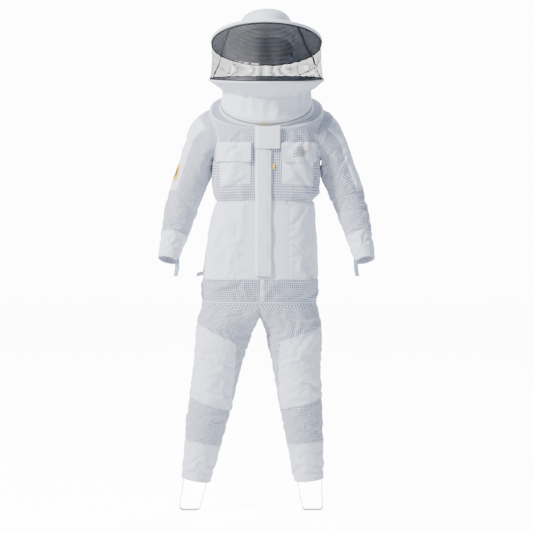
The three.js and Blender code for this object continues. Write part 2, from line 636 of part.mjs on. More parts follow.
// ---- Pockets: patches that stand off the cloth and are open at the top ----
function pocket(at, across, rows, bulge, rim) {
  const outer = solidOf(slab((s, t, w) => at(s, t, LAY + w * (bulge + CLOTH)), across, rows));
  const inner = solidOf(
    slab((s, t, w) => at(lerp(rim, 1 - rim, s), lerp(rim, 1.08, t), w * (LAY + bulge)), across, rows),
  );
  return geometryOf(largest(outer.subtract(inner)));
}
function chestAt(x0, x1, z0, z1) {
  return (s, t, depth) => {
    const row = jacket.rowAt(lerp(z0, z1, t));
    return jacket.at(jacket.turnAt(lerp(x0, x1, s), row), row, depth);
  };
}
const chest = { inner: 53, outer: 160, bottom: 1151, top: 1282, bulge: 6 };
const flap = { high: 70, over: 12, thick: 2.5, inner: 51, outer: 164, sewn: 5 };
for (const [side, sign] of Object.entries(sides)) {
  const [from, to] = sign < 0 ? [-chest.outer, -chest.inner] : [chest.inner, chest.outer];
  add(`chest_pocket_${side}`, pocket(chestAt(from, to, chest.bottom, chest.top), 7, 4, chest.bulge, 0.025), material.cotton);
  // The flap is a flat plate over the pocket, with its top edge folded back and sewn to the yoke.
  const row = jacket.rowAt(chest.top + flap.over);
  const near = jacket.at(jacket.turnAt(sign * flap.inner, row), row, 0);
  const far = jacket.at(jacket.turnAt(sign * flap.outer, row), row, 0);
  const wide = far.distanceTo(near);
  const slant = Math.atan2(far.y - near.y, (far.x - near.x) * sign);
  const outwards = vec(sign * Math.sin(slant), -Math.cos(slant), 0);
  const proud = (low, high, depth) => {
    let most = 0;
    for (let i = 0; i <= 20; i++) {
      const at = jacket.rowAt(lerp(low, high, (i % 5) / 4));
      const p = jacket.at(jacket.turnAt(sign * lerp(flap.inner, flap.outer, i / 20), at), at, depth);
      most = Math.max(most, p.sub(near).dot(outwards));
    }
    return most + LAY;
  };
  const top = chest.top + flap.over;
  const out = proud(top - flap.high, chest.top, LAY + chest.bulge + CLOTH);
  const foot = proud(top - flap.sewn, top, 0);
  const plate = solidOf(new THREE.BoxGeometry(wide, flap.thick, flap.high).translate(0, -out - flap.thick / 2, -flap.high / 2));
  const sewn = solidOf(
    new THREE.BoxGeometry(wide * 0.7, out - foot + 0.5, flap.sewn).translate(0, -(out + foot) / 2 - 0.25, -flap.sewn / 2),
  );
  const mesh = add(`chest_flap_${side}`, geometryOf(plate.add(sewn)), material.cotton);
  mesh.rotation.z = sign * slant;
  mesh.position.copy(near).add(far).multiplyScalar(0.5).setZ(top);
}
add(
  "hip_pocket_left",
  pocket(chestAt(84, 150, hip + 4, 1068), 5, 4, 5, 0.035),
  material.cotton,
);
const kneePocket = { top: -118, bottom: 128, half: 0.17, bulge: 5 };
for (const side of Object.keys(sides)) {
  const { thigh, calf } = legs[side];
  const at = (s, t, depth) => {
    const down = lerp(kneePocket.bottom, kneePocket.top, t);
    const turn = lerp(0.5 - kneePocket.half, 0.5 + kneePocket.half, s);
    const wide = legRadius.knee + CLOTH + TURN;
    const p = limbPoint(thigh, turn, thigh.length + Math.min(down, 0), 0);
    const radius = down < 0 ? lerp(wide, legRadius.thigh, -down / thigh.length / 0.45) : wide;
    const axis = thigh.axis.clone().multiplyScalar(Math.sin(2 * Math.PI * turn));
    const ahead = thigh.front.clone().multiplyScalar(-Math.cos(2 * Math.PI * turn));
    const below = Math.max(down, 0);
    return p
      .addScaledVector(calf.down, below)
      .addScaledVector(axis, radius + depth)
      .addScaledVector(ahead, radius + depth);
  };
  add(`knee_pocket_${side}`, pocket((s, t, d) => at(1 - s, t, d), 9, 4, kneePocket.bulge, 0.03), material.cotton);
}

// ---- Neck flap, tag, hip tab and the elastic in the back of the waist ----
const neckFlap = { from: -38, to: 46, top: 1345, bottom: 1270, out: 10.5, thick: 2.5 };
{
  const wide = neckFlap.to - neckFlap.from;
  const tall = neckFlap.top - neckFlap.bottom;
  const plate = solidOf(
    new THREE.BoxGeometry(wide, neckFlap.thick, tall).translate(
      (neckFlap.from + neckFlap.to) / 2,
      front - neckFlap.out - neckFlap.thick / 2,
      (neckFlap.top + neckFlap.bottom) / 2,
    ),
  );
  const sewn = solidOf(
    new THREE.BoxGeometry(placket.sewn, neckFlap.out, tall - 20).translate(
      neckFlap.from + placket.sewn / 2,
      front - SEAM - neckFlap.out / 2,
      (neckFlap.top + neckFlap.bottom) / 2 - 10,
    ),
  );
  add("neck_flap", geometryOf(plate.add(sewn)), material.cotton);
}
add("side_tag", new THREE.BoxGeometry(4, 1.2, 20).translate(placket.to + 8, front - SEAM - 0.6, 1210), material.yellow);
{
  // The tab stands out from the side at the hip seam, with a press stud through it.
  const stud = solidOf(new THREE.CylinderGeometry(7, 7, 5, 20).rotateX(Math.PI / 2).translate(-13, 0, 0));
  const tab = solidOf(new THREE.BoxGeometry(24, 2.5, 16).translate(-12, 0, 0));
  const hipTab = new THREE.Group();
  hipTab.position.copy(jacket.at(sideSeam[0], jacket.rowAt(hip + 12), LAY + SEAM));
  suit.add(hipTab);
  add("hip_tab", geometryOf(tab.add(stud)), material.snap, hipTab);
}
add(
  "waist_elastic",
  slab((s, t, w) => {
    const row = jacket.rowAt(waist - 24 + 48 * t);
    return jacket.at(lerp(-0.19, 0.19, s), row, LAY + w * 2.5);
  }, 20, 2),
  material.cotton,
);

// ---- The hood: skirt, lower hoop, veil and hat. It all folds back on the back of the neck zip ----
const hoop = { z: 1512, radius: 199, wire: 3.5, tilt: 6.6 };
const hat = { z: 1641.5, radius: 192, tilt: -17, band: 15, bandThick: 5 };
const skirtFoot = neckZip.gap + neckZip.beadHigh + neckZip.tape + SEAM;
function tiltedRing(y, z, radius, tilt, lift) {
  const n = vec(0, -Math.sin(deg(tilt)), Math.cos(deg(tilt)));
  const cy = y + lift * n.y;
  return { z: z + lift * n.z, x: 0, a: radius, front: cy - radius * n.z, back: cy + radius * n.z, n: 2, tilt };
}
const skirt = new RingStack([
  tiltedRing(neckZip.y, neckZip.height, neckZip.radius + CLOTH / 2, neckZip.tilt, skirtFoot),
  tiltedRing(8, 1456, 153, 22, 0),
  tiltedRing(5, 1476, 151, 14, 0),
  tiltedRing(2, 1492, 172, 9, 0),
  tiltedRing(0, hoop.z, hoop.radius, hoop.tilt, -hoop.wire - SEAM),
]);
add("hood_skirt", tubeWall((turn, row, deep) => skirt.at(turn, row, (deep - 1) * CLOTH), AROUND_HOOD, 5), material.cotton);

const hoopGroup = new THREE.Group();
hoopGroup.position.set(0, 0, hoop.z);
hoopGroup.rotation.x = deg(hoop.tilt);
suit.add(hoopGroup);
add("hood_hoop", new THREE.TorusGeometry(hoop.radius, hoop.wire, 8, AROUND_HOOD), material.cotton, hoopGroup);

const veilThick = 1;
const veil = new RingStack([
  tiltedRing(0, hoop.z, hoop.radius, hoop.tilt, hoop.wire + SEAM),
  tiltedRing(0, hat.z, hat.radius, hat.tilt, -hat.band / 2 - SEAM),
]);
add("veil_net", tubeWall((turn, row, deep) => veil.at(turn, row, (deep - 1) * veilThick), AROUND_HOOD, 2), material.veil);
// Four sprung strips hold the net off the face, two on each side.
const strips = {
  front_right: [0.5 - 0.115, 0.5 - 0.19],
  rear_right: [0.5 - 0.2, 0.5 - 0.43],
  front_left: [0.5 + 0.09, 0.5 + 0.2],
  rear_left: [0.5 + 0.2, 0.5 + 0.43],
};
for (const [name, [top, bottom]] of Object.entries(strips)) {
  const half = 3;
  add(
    `veil_strip_${name}`,
    slab((s, t, w) => {
      const edge = 0.03;
      const turn = lerp(bottom, top, lerp(edge, 1 - edge, t)) + ((s - 0.5) * 2 * half) / (2 * Math.PI * hat.radius);
      return veil.at(turn, lerp(edge, 1 - edge, t), -veilThick - 2.3 + w);
    }, 1, 12),
    material.webbing,
  );
}

// ---- Hat ----
const hatGroup = new THREE.Group();
hatGroup.position.set(0, 0, hat.z);
hatGroup.rotation.x = deg(hat.tilt);
suit.add(hatGroup);
const head = { wide: 97, deep: 112 };
const oval = head.deep / head.wide;
function lathe(points, around) {
  const profile = points.map(([r, z]) => new THREE.Vector2(r, z));
  return new THREE.LatheGeometry(profile, around).rotateX(Math.PI / 2);
}
add(
  "brim_hoop",
  lathe(
    [
      [hat.radius, -hat.band / 2],
      [hat.radius + hat.bandThick, -hat.band / 2 + 2],
      [hat.radius + hat.bandThick, hat.band / 2 - 2],
      [hat.radius, hat.band / 2],
      [hat.radius, -hat.band / 2],
    ],
    AROUND_HOOD,
  ),
  material.cotton,
  hatGroup,
);
{
  // The brim rises a little to the crown, and its inner edge is the oval of the head.
  const rise = 8;
  const edge = hat.radius - SEAM;
  const brim = tubeWall(
    (turn, row, deep) => {
      const angle = 2 * Math.PI * turn;
      const t = row / 2;
      const rx = lerp(head.wide + SEAM, edge, t);
      const ry = lerp(head.deep + SEAM, edge, t);
      const z = rise * (1 - t) + (deep ? 0 : -CLOTH);
      return vec(-rx * Math.sin(angle), ry * Math.cos(angle), z);
    },
    AROUND_HOOD,
    3,
  );
  add("hat_brim", brim, material.cotton, hatGroup);
  const foot = rise + SEAM;
  const outside = [
    [head.wide + 3, foot],
    [head.wide - 2, foot + 40],
    [head.wide - 10, foot + 66],
    [head.wide - 24, foot + 80],
    [head.wide - 50, foot + 86],
    [0, foot + 87],
  ];
  const inside = outside.map(([r, z], i) => [i === outside.length - 1 ? 0 : r - CLOTH, i === 0 ? z : z - CLOTH]);
  add("hat_crown", lathe([...outside, ...inside.reverse(), outside[0]], AROUND_HEAD).scale(1, oval, 1), material.cotton, hatGroup);
  const band = [
    [head.wide - CLOTH, -24],
    [head.wide - 1, -24],
    [head.wide - 1, foot + 6],
    [head.wide - CLOTH, foot + 6],
    [head.wide - CLOTH, -24],
  ];
  add("headband", lathe(band, AROUND_HEAD).scale(1, oval, 1), material.cotton, hatGroup);
}
// The elastic that goes under the chin, and the toggle that shortens it.
{
  const drop = 128;
  const path = new THREE.CatmullRomCurve3([
    vec(-91.2, 0, 10),
    vec(-87, 0, -20),
    vec(-82, 0, -70),
    vec(-50, 0, -drop + 8),
    vec(0, 0, -drop),
    vec(50, 0, -drop + 8),
    vec(82, 0, -70),
    vec(87, 0, -20),
    vec(91.2, 0, 10),
  ]);
  const section = new THREE.Shape();
  section.moveTo(-4, -0.8);
  section.lineTo(4, -0.8);
  section.lineTo(4, 0.8);
  section.lineTo(-4, 0.8);
  const chin = new THREE.Group();
  chin.position.set(0, -12, -24);
  chin.rotation.x = deg(-hat.tilt - 4);
  hatGroup.add(chin);
  add("chin_elastic", new THREE.ExtrudeGeometry(section, { extrudePath: path, steps: 30, bevelEnabled: false }), material.elastic, chin);
  const buckle = solidOf(new THREE.BoxGeometry(7, 14, 12));
  const slot = solidOf(new THREE.BoxGeometry(4.2, 9.4, 16));
  const toggle = add("chin_toggle", geometryOf(buckle.subtract(slot)), material.webbing, chin);
  toggle.position.set(87, 0, -24);
}

suit.position.set(0, -neckZip.y, -neckZip.height);
export default suit;
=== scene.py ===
"""The looks of a ventilated beekeeping suit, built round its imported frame. Measures are millimetres with the
soles at height 0 and the wearer's right at -X, and place() puts them in the frame."""
import json
import math

import bpy
import numpy as np
from mathutils import Vector
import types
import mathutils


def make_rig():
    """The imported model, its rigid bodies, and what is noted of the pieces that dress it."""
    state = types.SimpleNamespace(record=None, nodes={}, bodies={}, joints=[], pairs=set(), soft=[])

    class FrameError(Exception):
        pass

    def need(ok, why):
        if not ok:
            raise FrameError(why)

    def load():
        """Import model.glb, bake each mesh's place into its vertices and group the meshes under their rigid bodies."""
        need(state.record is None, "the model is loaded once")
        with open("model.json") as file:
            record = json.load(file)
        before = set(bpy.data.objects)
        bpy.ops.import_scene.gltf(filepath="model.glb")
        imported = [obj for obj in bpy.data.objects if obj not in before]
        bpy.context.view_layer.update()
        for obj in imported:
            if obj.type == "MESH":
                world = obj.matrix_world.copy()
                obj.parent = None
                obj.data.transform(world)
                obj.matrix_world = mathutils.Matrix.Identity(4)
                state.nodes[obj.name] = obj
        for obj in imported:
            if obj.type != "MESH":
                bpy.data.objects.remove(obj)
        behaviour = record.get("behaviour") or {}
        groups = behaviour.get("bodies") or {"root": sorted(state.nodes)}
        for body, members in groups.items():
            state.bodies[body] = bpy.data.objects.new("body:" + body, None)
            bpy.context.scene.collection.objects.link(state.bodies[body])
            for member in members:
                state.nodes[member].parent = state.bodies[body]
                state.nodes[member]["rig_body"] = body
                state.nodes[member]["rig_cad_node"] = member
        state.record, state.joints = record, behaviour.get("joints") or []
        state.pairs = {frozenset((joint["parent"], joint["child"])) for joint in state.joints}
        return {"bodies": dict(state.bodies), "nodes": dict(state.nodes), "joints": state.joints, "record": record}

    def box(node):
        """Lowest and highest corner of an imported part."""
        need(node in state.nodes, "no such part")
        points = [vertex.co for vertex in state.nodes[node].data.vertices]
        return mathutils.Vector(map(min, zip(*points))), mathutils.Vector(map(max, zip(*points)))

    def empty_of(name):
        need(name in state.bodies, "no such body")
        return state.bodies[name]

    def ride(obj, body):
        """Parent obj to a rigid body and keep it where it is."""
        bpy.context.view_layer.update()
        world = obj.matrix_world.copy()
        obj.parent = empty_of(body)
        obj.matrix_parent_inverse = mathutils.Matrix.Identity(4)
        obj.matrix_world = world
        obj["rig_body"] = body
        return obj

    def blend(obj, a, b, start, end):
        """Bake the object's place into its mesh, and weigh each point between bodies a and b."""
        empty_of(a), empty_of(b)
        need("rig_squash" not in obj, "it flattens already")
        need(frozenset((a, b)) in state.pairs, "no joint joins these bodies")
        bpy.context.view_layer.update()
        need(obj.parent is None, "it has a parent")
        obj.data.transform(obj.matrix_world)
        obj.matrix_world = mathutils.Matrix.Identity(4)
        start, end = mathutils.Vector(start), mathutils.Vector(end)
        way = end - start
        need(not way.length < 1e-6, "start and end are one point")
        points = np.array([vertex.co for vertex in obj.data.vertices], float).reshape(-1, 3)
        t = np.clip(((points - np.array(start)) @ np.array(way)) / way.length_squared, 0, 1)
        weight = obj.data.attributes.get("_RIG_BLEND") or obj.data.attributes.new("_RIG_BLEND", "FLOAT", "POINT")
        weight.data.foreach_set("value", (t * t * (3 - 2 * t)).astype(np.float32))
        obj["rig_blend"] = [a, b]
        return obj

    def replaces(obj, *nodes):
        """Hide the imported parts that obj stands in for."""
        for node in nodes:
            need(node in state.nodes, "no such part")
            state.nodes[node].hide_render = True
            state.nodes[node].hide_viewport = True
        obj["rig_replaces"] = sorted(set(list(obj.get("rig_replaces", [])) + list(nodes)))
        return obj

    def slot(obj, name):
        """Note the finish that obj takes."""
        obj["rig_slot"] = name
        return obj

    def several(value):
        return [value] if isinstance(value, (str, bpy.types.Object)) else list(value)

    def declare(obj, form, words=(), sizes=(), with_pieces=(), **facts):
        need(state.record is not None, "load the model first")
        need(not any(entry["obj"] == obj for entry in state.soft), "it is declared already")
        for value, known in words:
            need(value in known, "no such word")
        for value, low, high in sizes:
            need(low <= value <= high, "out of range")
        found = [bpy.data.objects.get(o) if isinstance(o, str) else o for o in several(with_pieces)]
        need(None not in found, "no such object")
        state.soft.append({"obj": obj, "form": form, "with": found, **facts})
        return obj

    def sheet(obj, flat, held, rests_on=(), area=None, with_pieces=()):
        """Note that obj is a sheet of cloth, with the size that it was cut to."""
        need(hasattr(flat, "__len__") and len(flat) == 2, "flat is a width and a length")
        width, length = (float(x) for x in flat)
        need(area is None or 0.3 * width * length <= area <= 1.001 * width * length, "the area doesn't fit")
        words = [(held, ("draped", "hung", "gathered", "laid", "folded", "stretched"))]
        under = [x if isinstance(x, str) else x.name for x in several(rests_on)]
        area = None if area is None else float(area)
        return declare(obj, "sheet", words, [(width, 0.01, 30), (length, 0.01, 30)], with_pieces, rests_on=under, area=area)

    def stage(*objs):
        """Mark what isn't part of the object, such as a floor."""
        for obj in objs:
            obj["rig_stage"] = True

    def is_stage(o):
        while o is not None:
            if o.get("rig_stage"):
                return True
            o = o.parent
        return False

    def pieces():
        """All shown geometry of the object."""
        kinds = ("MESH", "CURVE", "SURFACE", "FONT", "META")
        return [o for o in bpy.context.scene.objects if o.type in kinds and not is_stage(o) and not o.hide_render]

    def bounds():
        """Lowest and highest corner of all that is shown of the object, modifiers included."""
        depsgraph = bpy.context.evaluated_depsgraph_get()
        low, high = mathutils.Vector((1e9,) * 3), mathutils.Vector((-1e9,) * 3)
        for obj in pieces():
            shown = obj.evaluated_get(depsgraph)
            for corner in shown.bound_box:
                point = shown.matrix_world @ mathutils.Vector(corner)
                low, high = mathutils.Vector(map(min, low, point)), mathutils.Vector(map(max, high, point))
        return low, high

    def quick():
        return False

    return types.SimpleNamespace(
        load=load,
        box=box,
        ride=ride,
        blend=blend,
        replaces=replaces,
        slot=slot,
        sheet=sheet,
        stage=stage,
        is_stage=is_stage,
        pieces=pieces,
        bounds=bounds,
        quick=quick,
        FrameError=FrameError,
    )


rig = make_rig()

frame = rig.load()
cad_low, cad_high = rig.bounds()
rng = np.random.default_rng(11)

# ---- Jacket body ---------------------------------------------------------------------------------
# One tube of cloth from the hips to the round neck zip. It is three-layer spacer net above the waist and
# below the hips and plain cotton twill between, and it is sewn into one skin that every pocket and flap
# lies on.


def place(points):
    """Suit millimetres as frame metres."""
    return (np.asarray(points, float) - (0, 10, 1428)) / 1000


def curve(table, x):
    """The values of a table at x, its first column, on a smooth line that never overshoots its rows."""
    rows = np.asarray(table, float)
    key, value = rows[:, 0], rows[:, 1:]
    rise = np.diff(value, axis=0) / np.diff(key)[:, None]
    both = rise[1:] * rise[:-1]
    inner = np.where(both > 0, 2 * both / (rise[1:] + rise[:-1] + 1e-12), 0)
    slope = np.concatenate([rise[:1], inner, rise[-1:]])
    x = np.clip(np.asarray(x, float), key[0], key[-1])
    i = np.clip(np.searchsorted(key, x, side="right") - 1, 0, len(key) - 2)
    gap = (key[i + 1] - key[i])[..., None]
    s = (x - key[i])[..., None] / gap
    return (value[i] * (1 + 2 * s) * (1 - s) ** 2 + slope[i] * gap * s * (1 - s) ** 2
            + value[i + 1] * s * s * (3 - 2 * s) + slope[i + 1] * gap * s * s * (s - 1))


def step(x, low, high):
    """0 below low, 1 above high, smooth between."""
    s = np.clip((np.asarray(x, float) - low) / (high - low), 0, 1)
    return s * s * (3 - 2 * s)


def unit(v):
    v = np.asarray(v, float)
    return v / np.maximum(np.linalg.norm(v, axis=-1, keepdims=True), 1e-9)


def far_along(line):
    """How far along a line of points each point is."""
    return np.concatenate([[0], np.cumsum(np.linalg.norm(np.diff(line, axis=0), axis=1))])


def grid_faces(rows, columns, closed, flip, keep=None):
    """Quads of a grid of points as (n, 4) indices, with the row and column of each."""
    i, j = np.meshgrid(np.arange(rows - 1), np.arange(columns if closed else columns - 1), indexing="ij")
    if keep is not None:
        i, j = i[keep], j[keep]
    i, j = i.ravel(), j.ravel()
    k = (j + 1) % columns
    quads = np.stack([i * columns + j, i * columns + k, (i + 1) * columns + k, (i + 1) * columns + j], 1)
    return (quads[:, ::-1] if flip else quads), i, j


def cloth(name, points, material, closed=False, flip=False, keep=None, thick=0):
    """A piece of cloth from a grid of points, with a UV map in metres along its columns and rows."""
    points = np.asarray(points, float)
    rows, columns = points.shape[:2]
    quads, i, j = grid_faces(rows, columns, closed, flip, keep)
    across = np.linalg.norm(np.roll(points, -1, 1) - points, axis=2).mean(0) / 1000
    along = np.linalg.norm(np.diff(points, axis=0), axis=2).mean(1) / 1000
    u, v = np.concatenate([[0], np.cumsum(across)]), np.concatenate([[0], np.cumsum(along)])
    corner = np.stack([np.stack([u[j], v[i]], 1), np.stack([u[j + 1], v[i]], 1),
                       np.stack([u[j + 1], v[i + 1]], 1), np.stack([u[j], v[i + 1]], 1)], 1)
    corner = corner[:, ::-1] if flip else corner
    used, quads = np.unique(quads, return_inverse=True)
    mesh = bpy.data.meshes.new(name)
    mesh.from_pydata(place(points.reshape(-1, 3)[used]).tolist(), [], quads.reshape(-1, 4).tolist())
    mesh.uv_layers.new(name="weave").data.foreach_set("uv", corner.reshape(-1).astype(np.float32))
    mesh.shade_smooth()
    piece = bpy.data.objects.new(name, mesh)
    bpy.context.scene.collection.objects.link(piece)
    mesh.materials.append(material)
    if thick:
        solid = piece.modifiers.new("thickness", "SOLIDIFY")
        solid.thickness, solid.offset = thick / 1000, -1
    return piece


def settle(points, hold, grow, cap=9.0, pressure=1.2):
    """Lets a closed tube of cloth, cut a little too large, buckle between the rows that hold it."""
    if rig.quick():
        return points
    rows, columns = points.shape[:2]
    quads, _, _ = grid_faces(rows, columns, True, False)
    frames = 14
    mesh = bpy.data.meshes.new("settling")
    mesh.from_pydata(place(points.reshape(-1, 3)).tolist(), [], quads.tolist())
    piece = bpy.data.objects.new("settling", mesh)
    bpy.context.scene.collection.objects.link(piece)
    group = piece.vertex_groups.new(name="hold")
    for index, weight in enumerate(hold.ravel()):
        group.add([index], float(weight), "REPLACE")
    sim = piece.modifiers.new("settle", "CLOTH")
    sim.point_cache.frame_start, sim.point_cache.frame_end = 1, frames
    cloth_set = sim.settings
    cloth_set.quality, cloth_set.mass, cloth_set.vertex_group_mass = 5, 0.15, "hold"
    cloth_set.tension_stiffness = cloth_set.compression_stiffness = 20
    cloth_set.shear_stiffness, cloth_set.bending_stiffness, cloth_set.shrink_min = 8, 0.6, -grow
    cloth_set.use_pressure, cloth_set.uniform_pressure_force = True, pressure
    cloth_set.effector_weights.gravity = 0.1
    sim.collision_settings.use_collision = False
    for at in range(1, frames + 1):
        bpy.context.scene.frame_set(at)
    made = piece.evaluated_get(bpy.context.evaluated_depsgraph_get()).data
    ended = np.zeros(len(made.vertices) * 3)
    made.vertices.foreach_get("co", ended)
    bpy.context.scene.frame_set(1)
    bpy.data.objects.remove(piece)
    moved = (ended.reshape(points.shape) - place(points)) * 1000
    far = np.linalg.norm(moved, axis=2, keepdims=True)
    return points + moved * np.minimum(1, cap / np.maximum(far, 1e-6)) * (1 - hold[..., None])


class Skin:
    """A settled closed tube of cloth. turn runs 0 to 1 round it, and v from low to high along it."""

    def __init__(self, points, low, high, out):
        self.points, self.low, self.high, self.out = points, low, high, out

    def at(self, turn, v, depth=0.0):
        turn, v = np.broadcast_arrays(np.asarray(turn, float), np.asarray(v, float))
        here = self._read(turn, v)
        if not np.any(depth):
            return here
        return here + self.normal(turn, v) * np.asarray(depth, float)[..., None]

    def normal(self, turn, v):
        rows, columns = self.points.shape[:2]
        a, b = 1 / columns, (self.high - self.low) / rows
        v = np.clip(v, self.low + b, self.high - b)
        round_ = self._read(turn + a, v) - self._read(turn - a, v)
        along = self._read(turn, v + b) - self._read(turn, v - b)
        return unit(np.cross(round_, along)) * self.out

    def _read(self, turn, v):
        rows, columns = self.points.shape[:2]
        x = np.asarray(turn) * columns
        y = np.clip((np.asarray(v) - self.low) / (self.high - self.low), 0, 1) * (rows - 1)
        i, j = np.floor(x).astype(int), np.minimum(np.floor(y).astype(int), rows - 2)
        weights = []
        for f in (x - i, y - j):
            weights.append([(-f + 2 * f * f - f ** 3) / 2, (2 - 5 * f * f + 3 * f ** 3) / 2,
                            (f + 4 * f * f - 3 * f ** 3) / 2, (f ** 3 - f * f) / 2])
        total = 0
        for m in range(4):
            for n in range(4):
                row = np.clip(j + n - 1, 0, rows - 1)
                total = total + self.points[row, (i + m
                                                  - 1) % columns] * (weights[0][m] * weights[1][n])[..., None]
        return total

    def find(self, x, z, girth=1000):
        """turn and v of the points of the front that have this x and z."""
        x, z = np.broadcast_arrays(np.asarray(x, float), np.asarray(z, float))
        turn, v = np.full(x.shape, 0.5), np.clip(z, self.low, self.high).astype(float)
        for _ in range(16):
            here = self._read(turn, v)
            turn = turn + (x - here[..., 0]) / girth
            v = np.clip(v + (z - here[..., 2]) * 0.9, self.low, self.high)
        return turn, v


def folds(turn, v, girth, lines):
    """How far folds lift the cloth. A line is turn and v of its two ends, its half width and its height."""
    lift = np.zeros(np.broadcast(turn, v).shape)
    for t0, v0, t1, v1, wide, high in lines:
        a = np.stack([((turn - t0 + 0.5) % 1 - 0.5) * girth, v - v0], -1)
        b = np.array([((t1 - t0 + 0.5) % 1 - 0.5) * girth, v1 - v0])
        share = np.clip(a @ b / (b @ b), 0, 1)
        off = np.linalg.norm(a - share[..., None] * b, axis=-1)
        lift += high * np.exp(-((off / wide) ** 2)) * (1 - 0.5 * share)
    return lift


def crumple(count, turns, vs, length, slant, wide=(7, 15), high=(-2.2, 2.6)):
    """Fold lines scattered over part of a skin, about as slanted as asked."""
    lines = []
    for _ in range(count):
        t, v = rng.uniform(*turns), rng.uniform(*vs)
        far, angle = rng.uniform(*length), math.radians(rng.uniform(*slant))
        lines.append((t, v, t + far * math.cos(angle) / 900, v + far * math.sin(angle), rng.uniform(*wide),
                      rng.uniform(*high)))
    return lines


# the heights of the crotch line, hip seam, waist seam and neck edge
CROTCH, HIP, WAIST, NECK = 742.0, 826.0, 1092.0, 1419.2
# centre height, x, half width, front, back, squareness, tilt in degrees
JACKET = [(CROTCH, -25, 200, -100, 90, 2.5, 0), (785, -24, 203, -114, 106, 2.6, 0),
          (HIP, -22, 200, -126, 118, 2.8, 0),
          (900, -18, 194, -126, 116, 2.8, 0), (970, -14, 188, -126, 112, 2.8, 0),
          (1030, -8, 179, -126, 108, 2.8, 0),
          (WAIST, 0, 170, -126, 104, 2.8, 0), (1130, 0, 180, -126, 111, 2.8, 0),
          (1176, 0, 185, -126, 121, 2.8, 0),
          (1255, 0, 185, -126, 131, 2.8, 0), (1315, 0, 185, -126, 139, 2.7, 6),
          (1366, 0, 188, -126, 147, 2.5, 15),
          (1411, 0, 197, -126, 151, 2.3, 27.3), (NECK, 0, 158.25, -125, 154.4, 2, 28)]


def jacket_point(turn, height):
    x, half_x, front, back, square, tilt = np.moveaxis(curve(JACKET, height), -1, 0)

    def bent(s):
        return np.sign(s) * np.abs(s) ** (2 / square)

    middle, half_y = (front + back) / 2, (back - front) / 2
    y = middle + half_y * bent(np.cos(turn * 2 * math.pi))
    return np.stack([x - half_x * bent(np.sin(turn * 2 * math.pi)), y,
                     height + (y - middle) * np.tan(np.radians(tilt))], -1)


def jacket_skin():
    columns, rows = 150, 98
    heights = np.linspace(CROTCH, NECK, rows)
    fine = np.linspace(0, 1, 1601)
    points = np.zeros((rows, columns, 3))
    for i, height in enumerate(heights):
        ring = jacket_point(fine, np.full(fine.shape, height))
        arc = far_along(ring)
        ahead = (fine > 0.3) & (fine < 0.7)
        middle = np.interp(0, ring[ahead, 0], arc[ahead])
        want = (middle + (np.arange(columns) / columns - 0.5) * arc[-1]) % arc[-1]
        points[i] = np.stack([np.interp(want, arc, ring[:, k]) for k in range(3)], 1)
    turn, v = np.meshgrid(np.arange(columns) / columns, heights)
    rear = np.minimum(turn, 1 - turn)
    side = np.minimum(abs(turn - 0.25), abs(turn - 0.75))
    lift = 2.2 * np.cos(turn * 2 * math.pi * 62) * np.exp(-(((v - WAIST) / 42) ** 2)) * (rear < 0.19)
    lift += folds(turn, v, 1000,
                  crumple(44, (0, 1), (840, 1060), (70, 190), (60, 115), (13, 26), (-3.0, 4.2)))
    lift += folds(turn, v, 1000,
                  crumple(40, (0, 1), (1100, 1290), (40, 120), (20, 150), (9, 17), (-2.6, 4.2)))
    lift += folds(turn, v, 1000, crumple(22, (0, 1), (750, 815), (30, 70), (-40, 40), (8, 14), (-2.0, 2.6)))
    lift += 5 * np.exp(-(((v - 1122) / 16) ** 2)) - 3.5 * np.exp(-(((v - WAIST) / 8) ** 2)) * (side < 0.18)
    free = step(v, CROTCH, 760) * (1 - step(v, 1340, 1400)) * np.where(v > HIP,
                                                                    step(abs(turn - 0.5), 0.045, 0.09), 1)
    bare = Skin(points, CROTCH, NECK, 1)
    points = points + bare.normal(turn, v) * (lift * free)[..., None]
    hold = 1 - 0.85 * free
    hold[[0, -1]] = 1
    return Skin(settle(points, hold, 0.035), CROTCH, NECK, 1)


def finish(name, colour, rough=0.85, metallic=0.0, sheen=0.0, weave=0.0, depth=0.0, stain=0.0):
    """A material: a plain colour with a weave along the cloth's UV map and a slow change in tone."""
    material = bpy.data.materials.new(name)
    material.use_nodes = True
    nodes, links = material.node_tree.nodes, material.node_tree.links
    shader = nodes["Principled BSDF"]
    shader.inputs["Base Color"].default_value = (*colour, 1)
    shader.inputs["Roughness"].default_value = rough
    shader.inputs["Metallic"].default_value = metallic
    shader.inputs["Sheen Weight"].default_value = sheen
    if weave:
        threads = nodes.new("ShaderNodeGroup")
        threads.node_tree = weave_group()
        threads.inputs["Pitch"].default_value = weave / 1000
        bump = nodes.new("ShaderNodeBump")
        bump.inputs["Strength"].default_value = 0.6
        bump.inputs["Distance"].default_value = depth / 1000
        links.new(threads.outputs["Height"], bump.inputs["Height"])
        links.new(bump.outputs["Normal"], shader.inputs["Normal"])
    if stain:
        where, noise, mix = (nodes.new("ShaderNode" + kind) for kind in ("TexCoord", "TexNoise", "Mix"))
        noise.inputs["Scale"].default_value, noise.inputs["Detail"].default_value = 9, 4
        mix.data_type = "RGBA"
        mix.inputs["A"].default_value = (*[c * (1 - stain) for c in colour], 1)
        mix.inputs["B"].default_value = (*colour, 1)
        links.new(where.outputs["Object"], noise.inputs["Vector"])
        links.new(noise.outputs["Fac"], mix.inputs["Factor"])
        links.new(mix.outputs["Result"], shader.inputs["Base Color"])
    return material


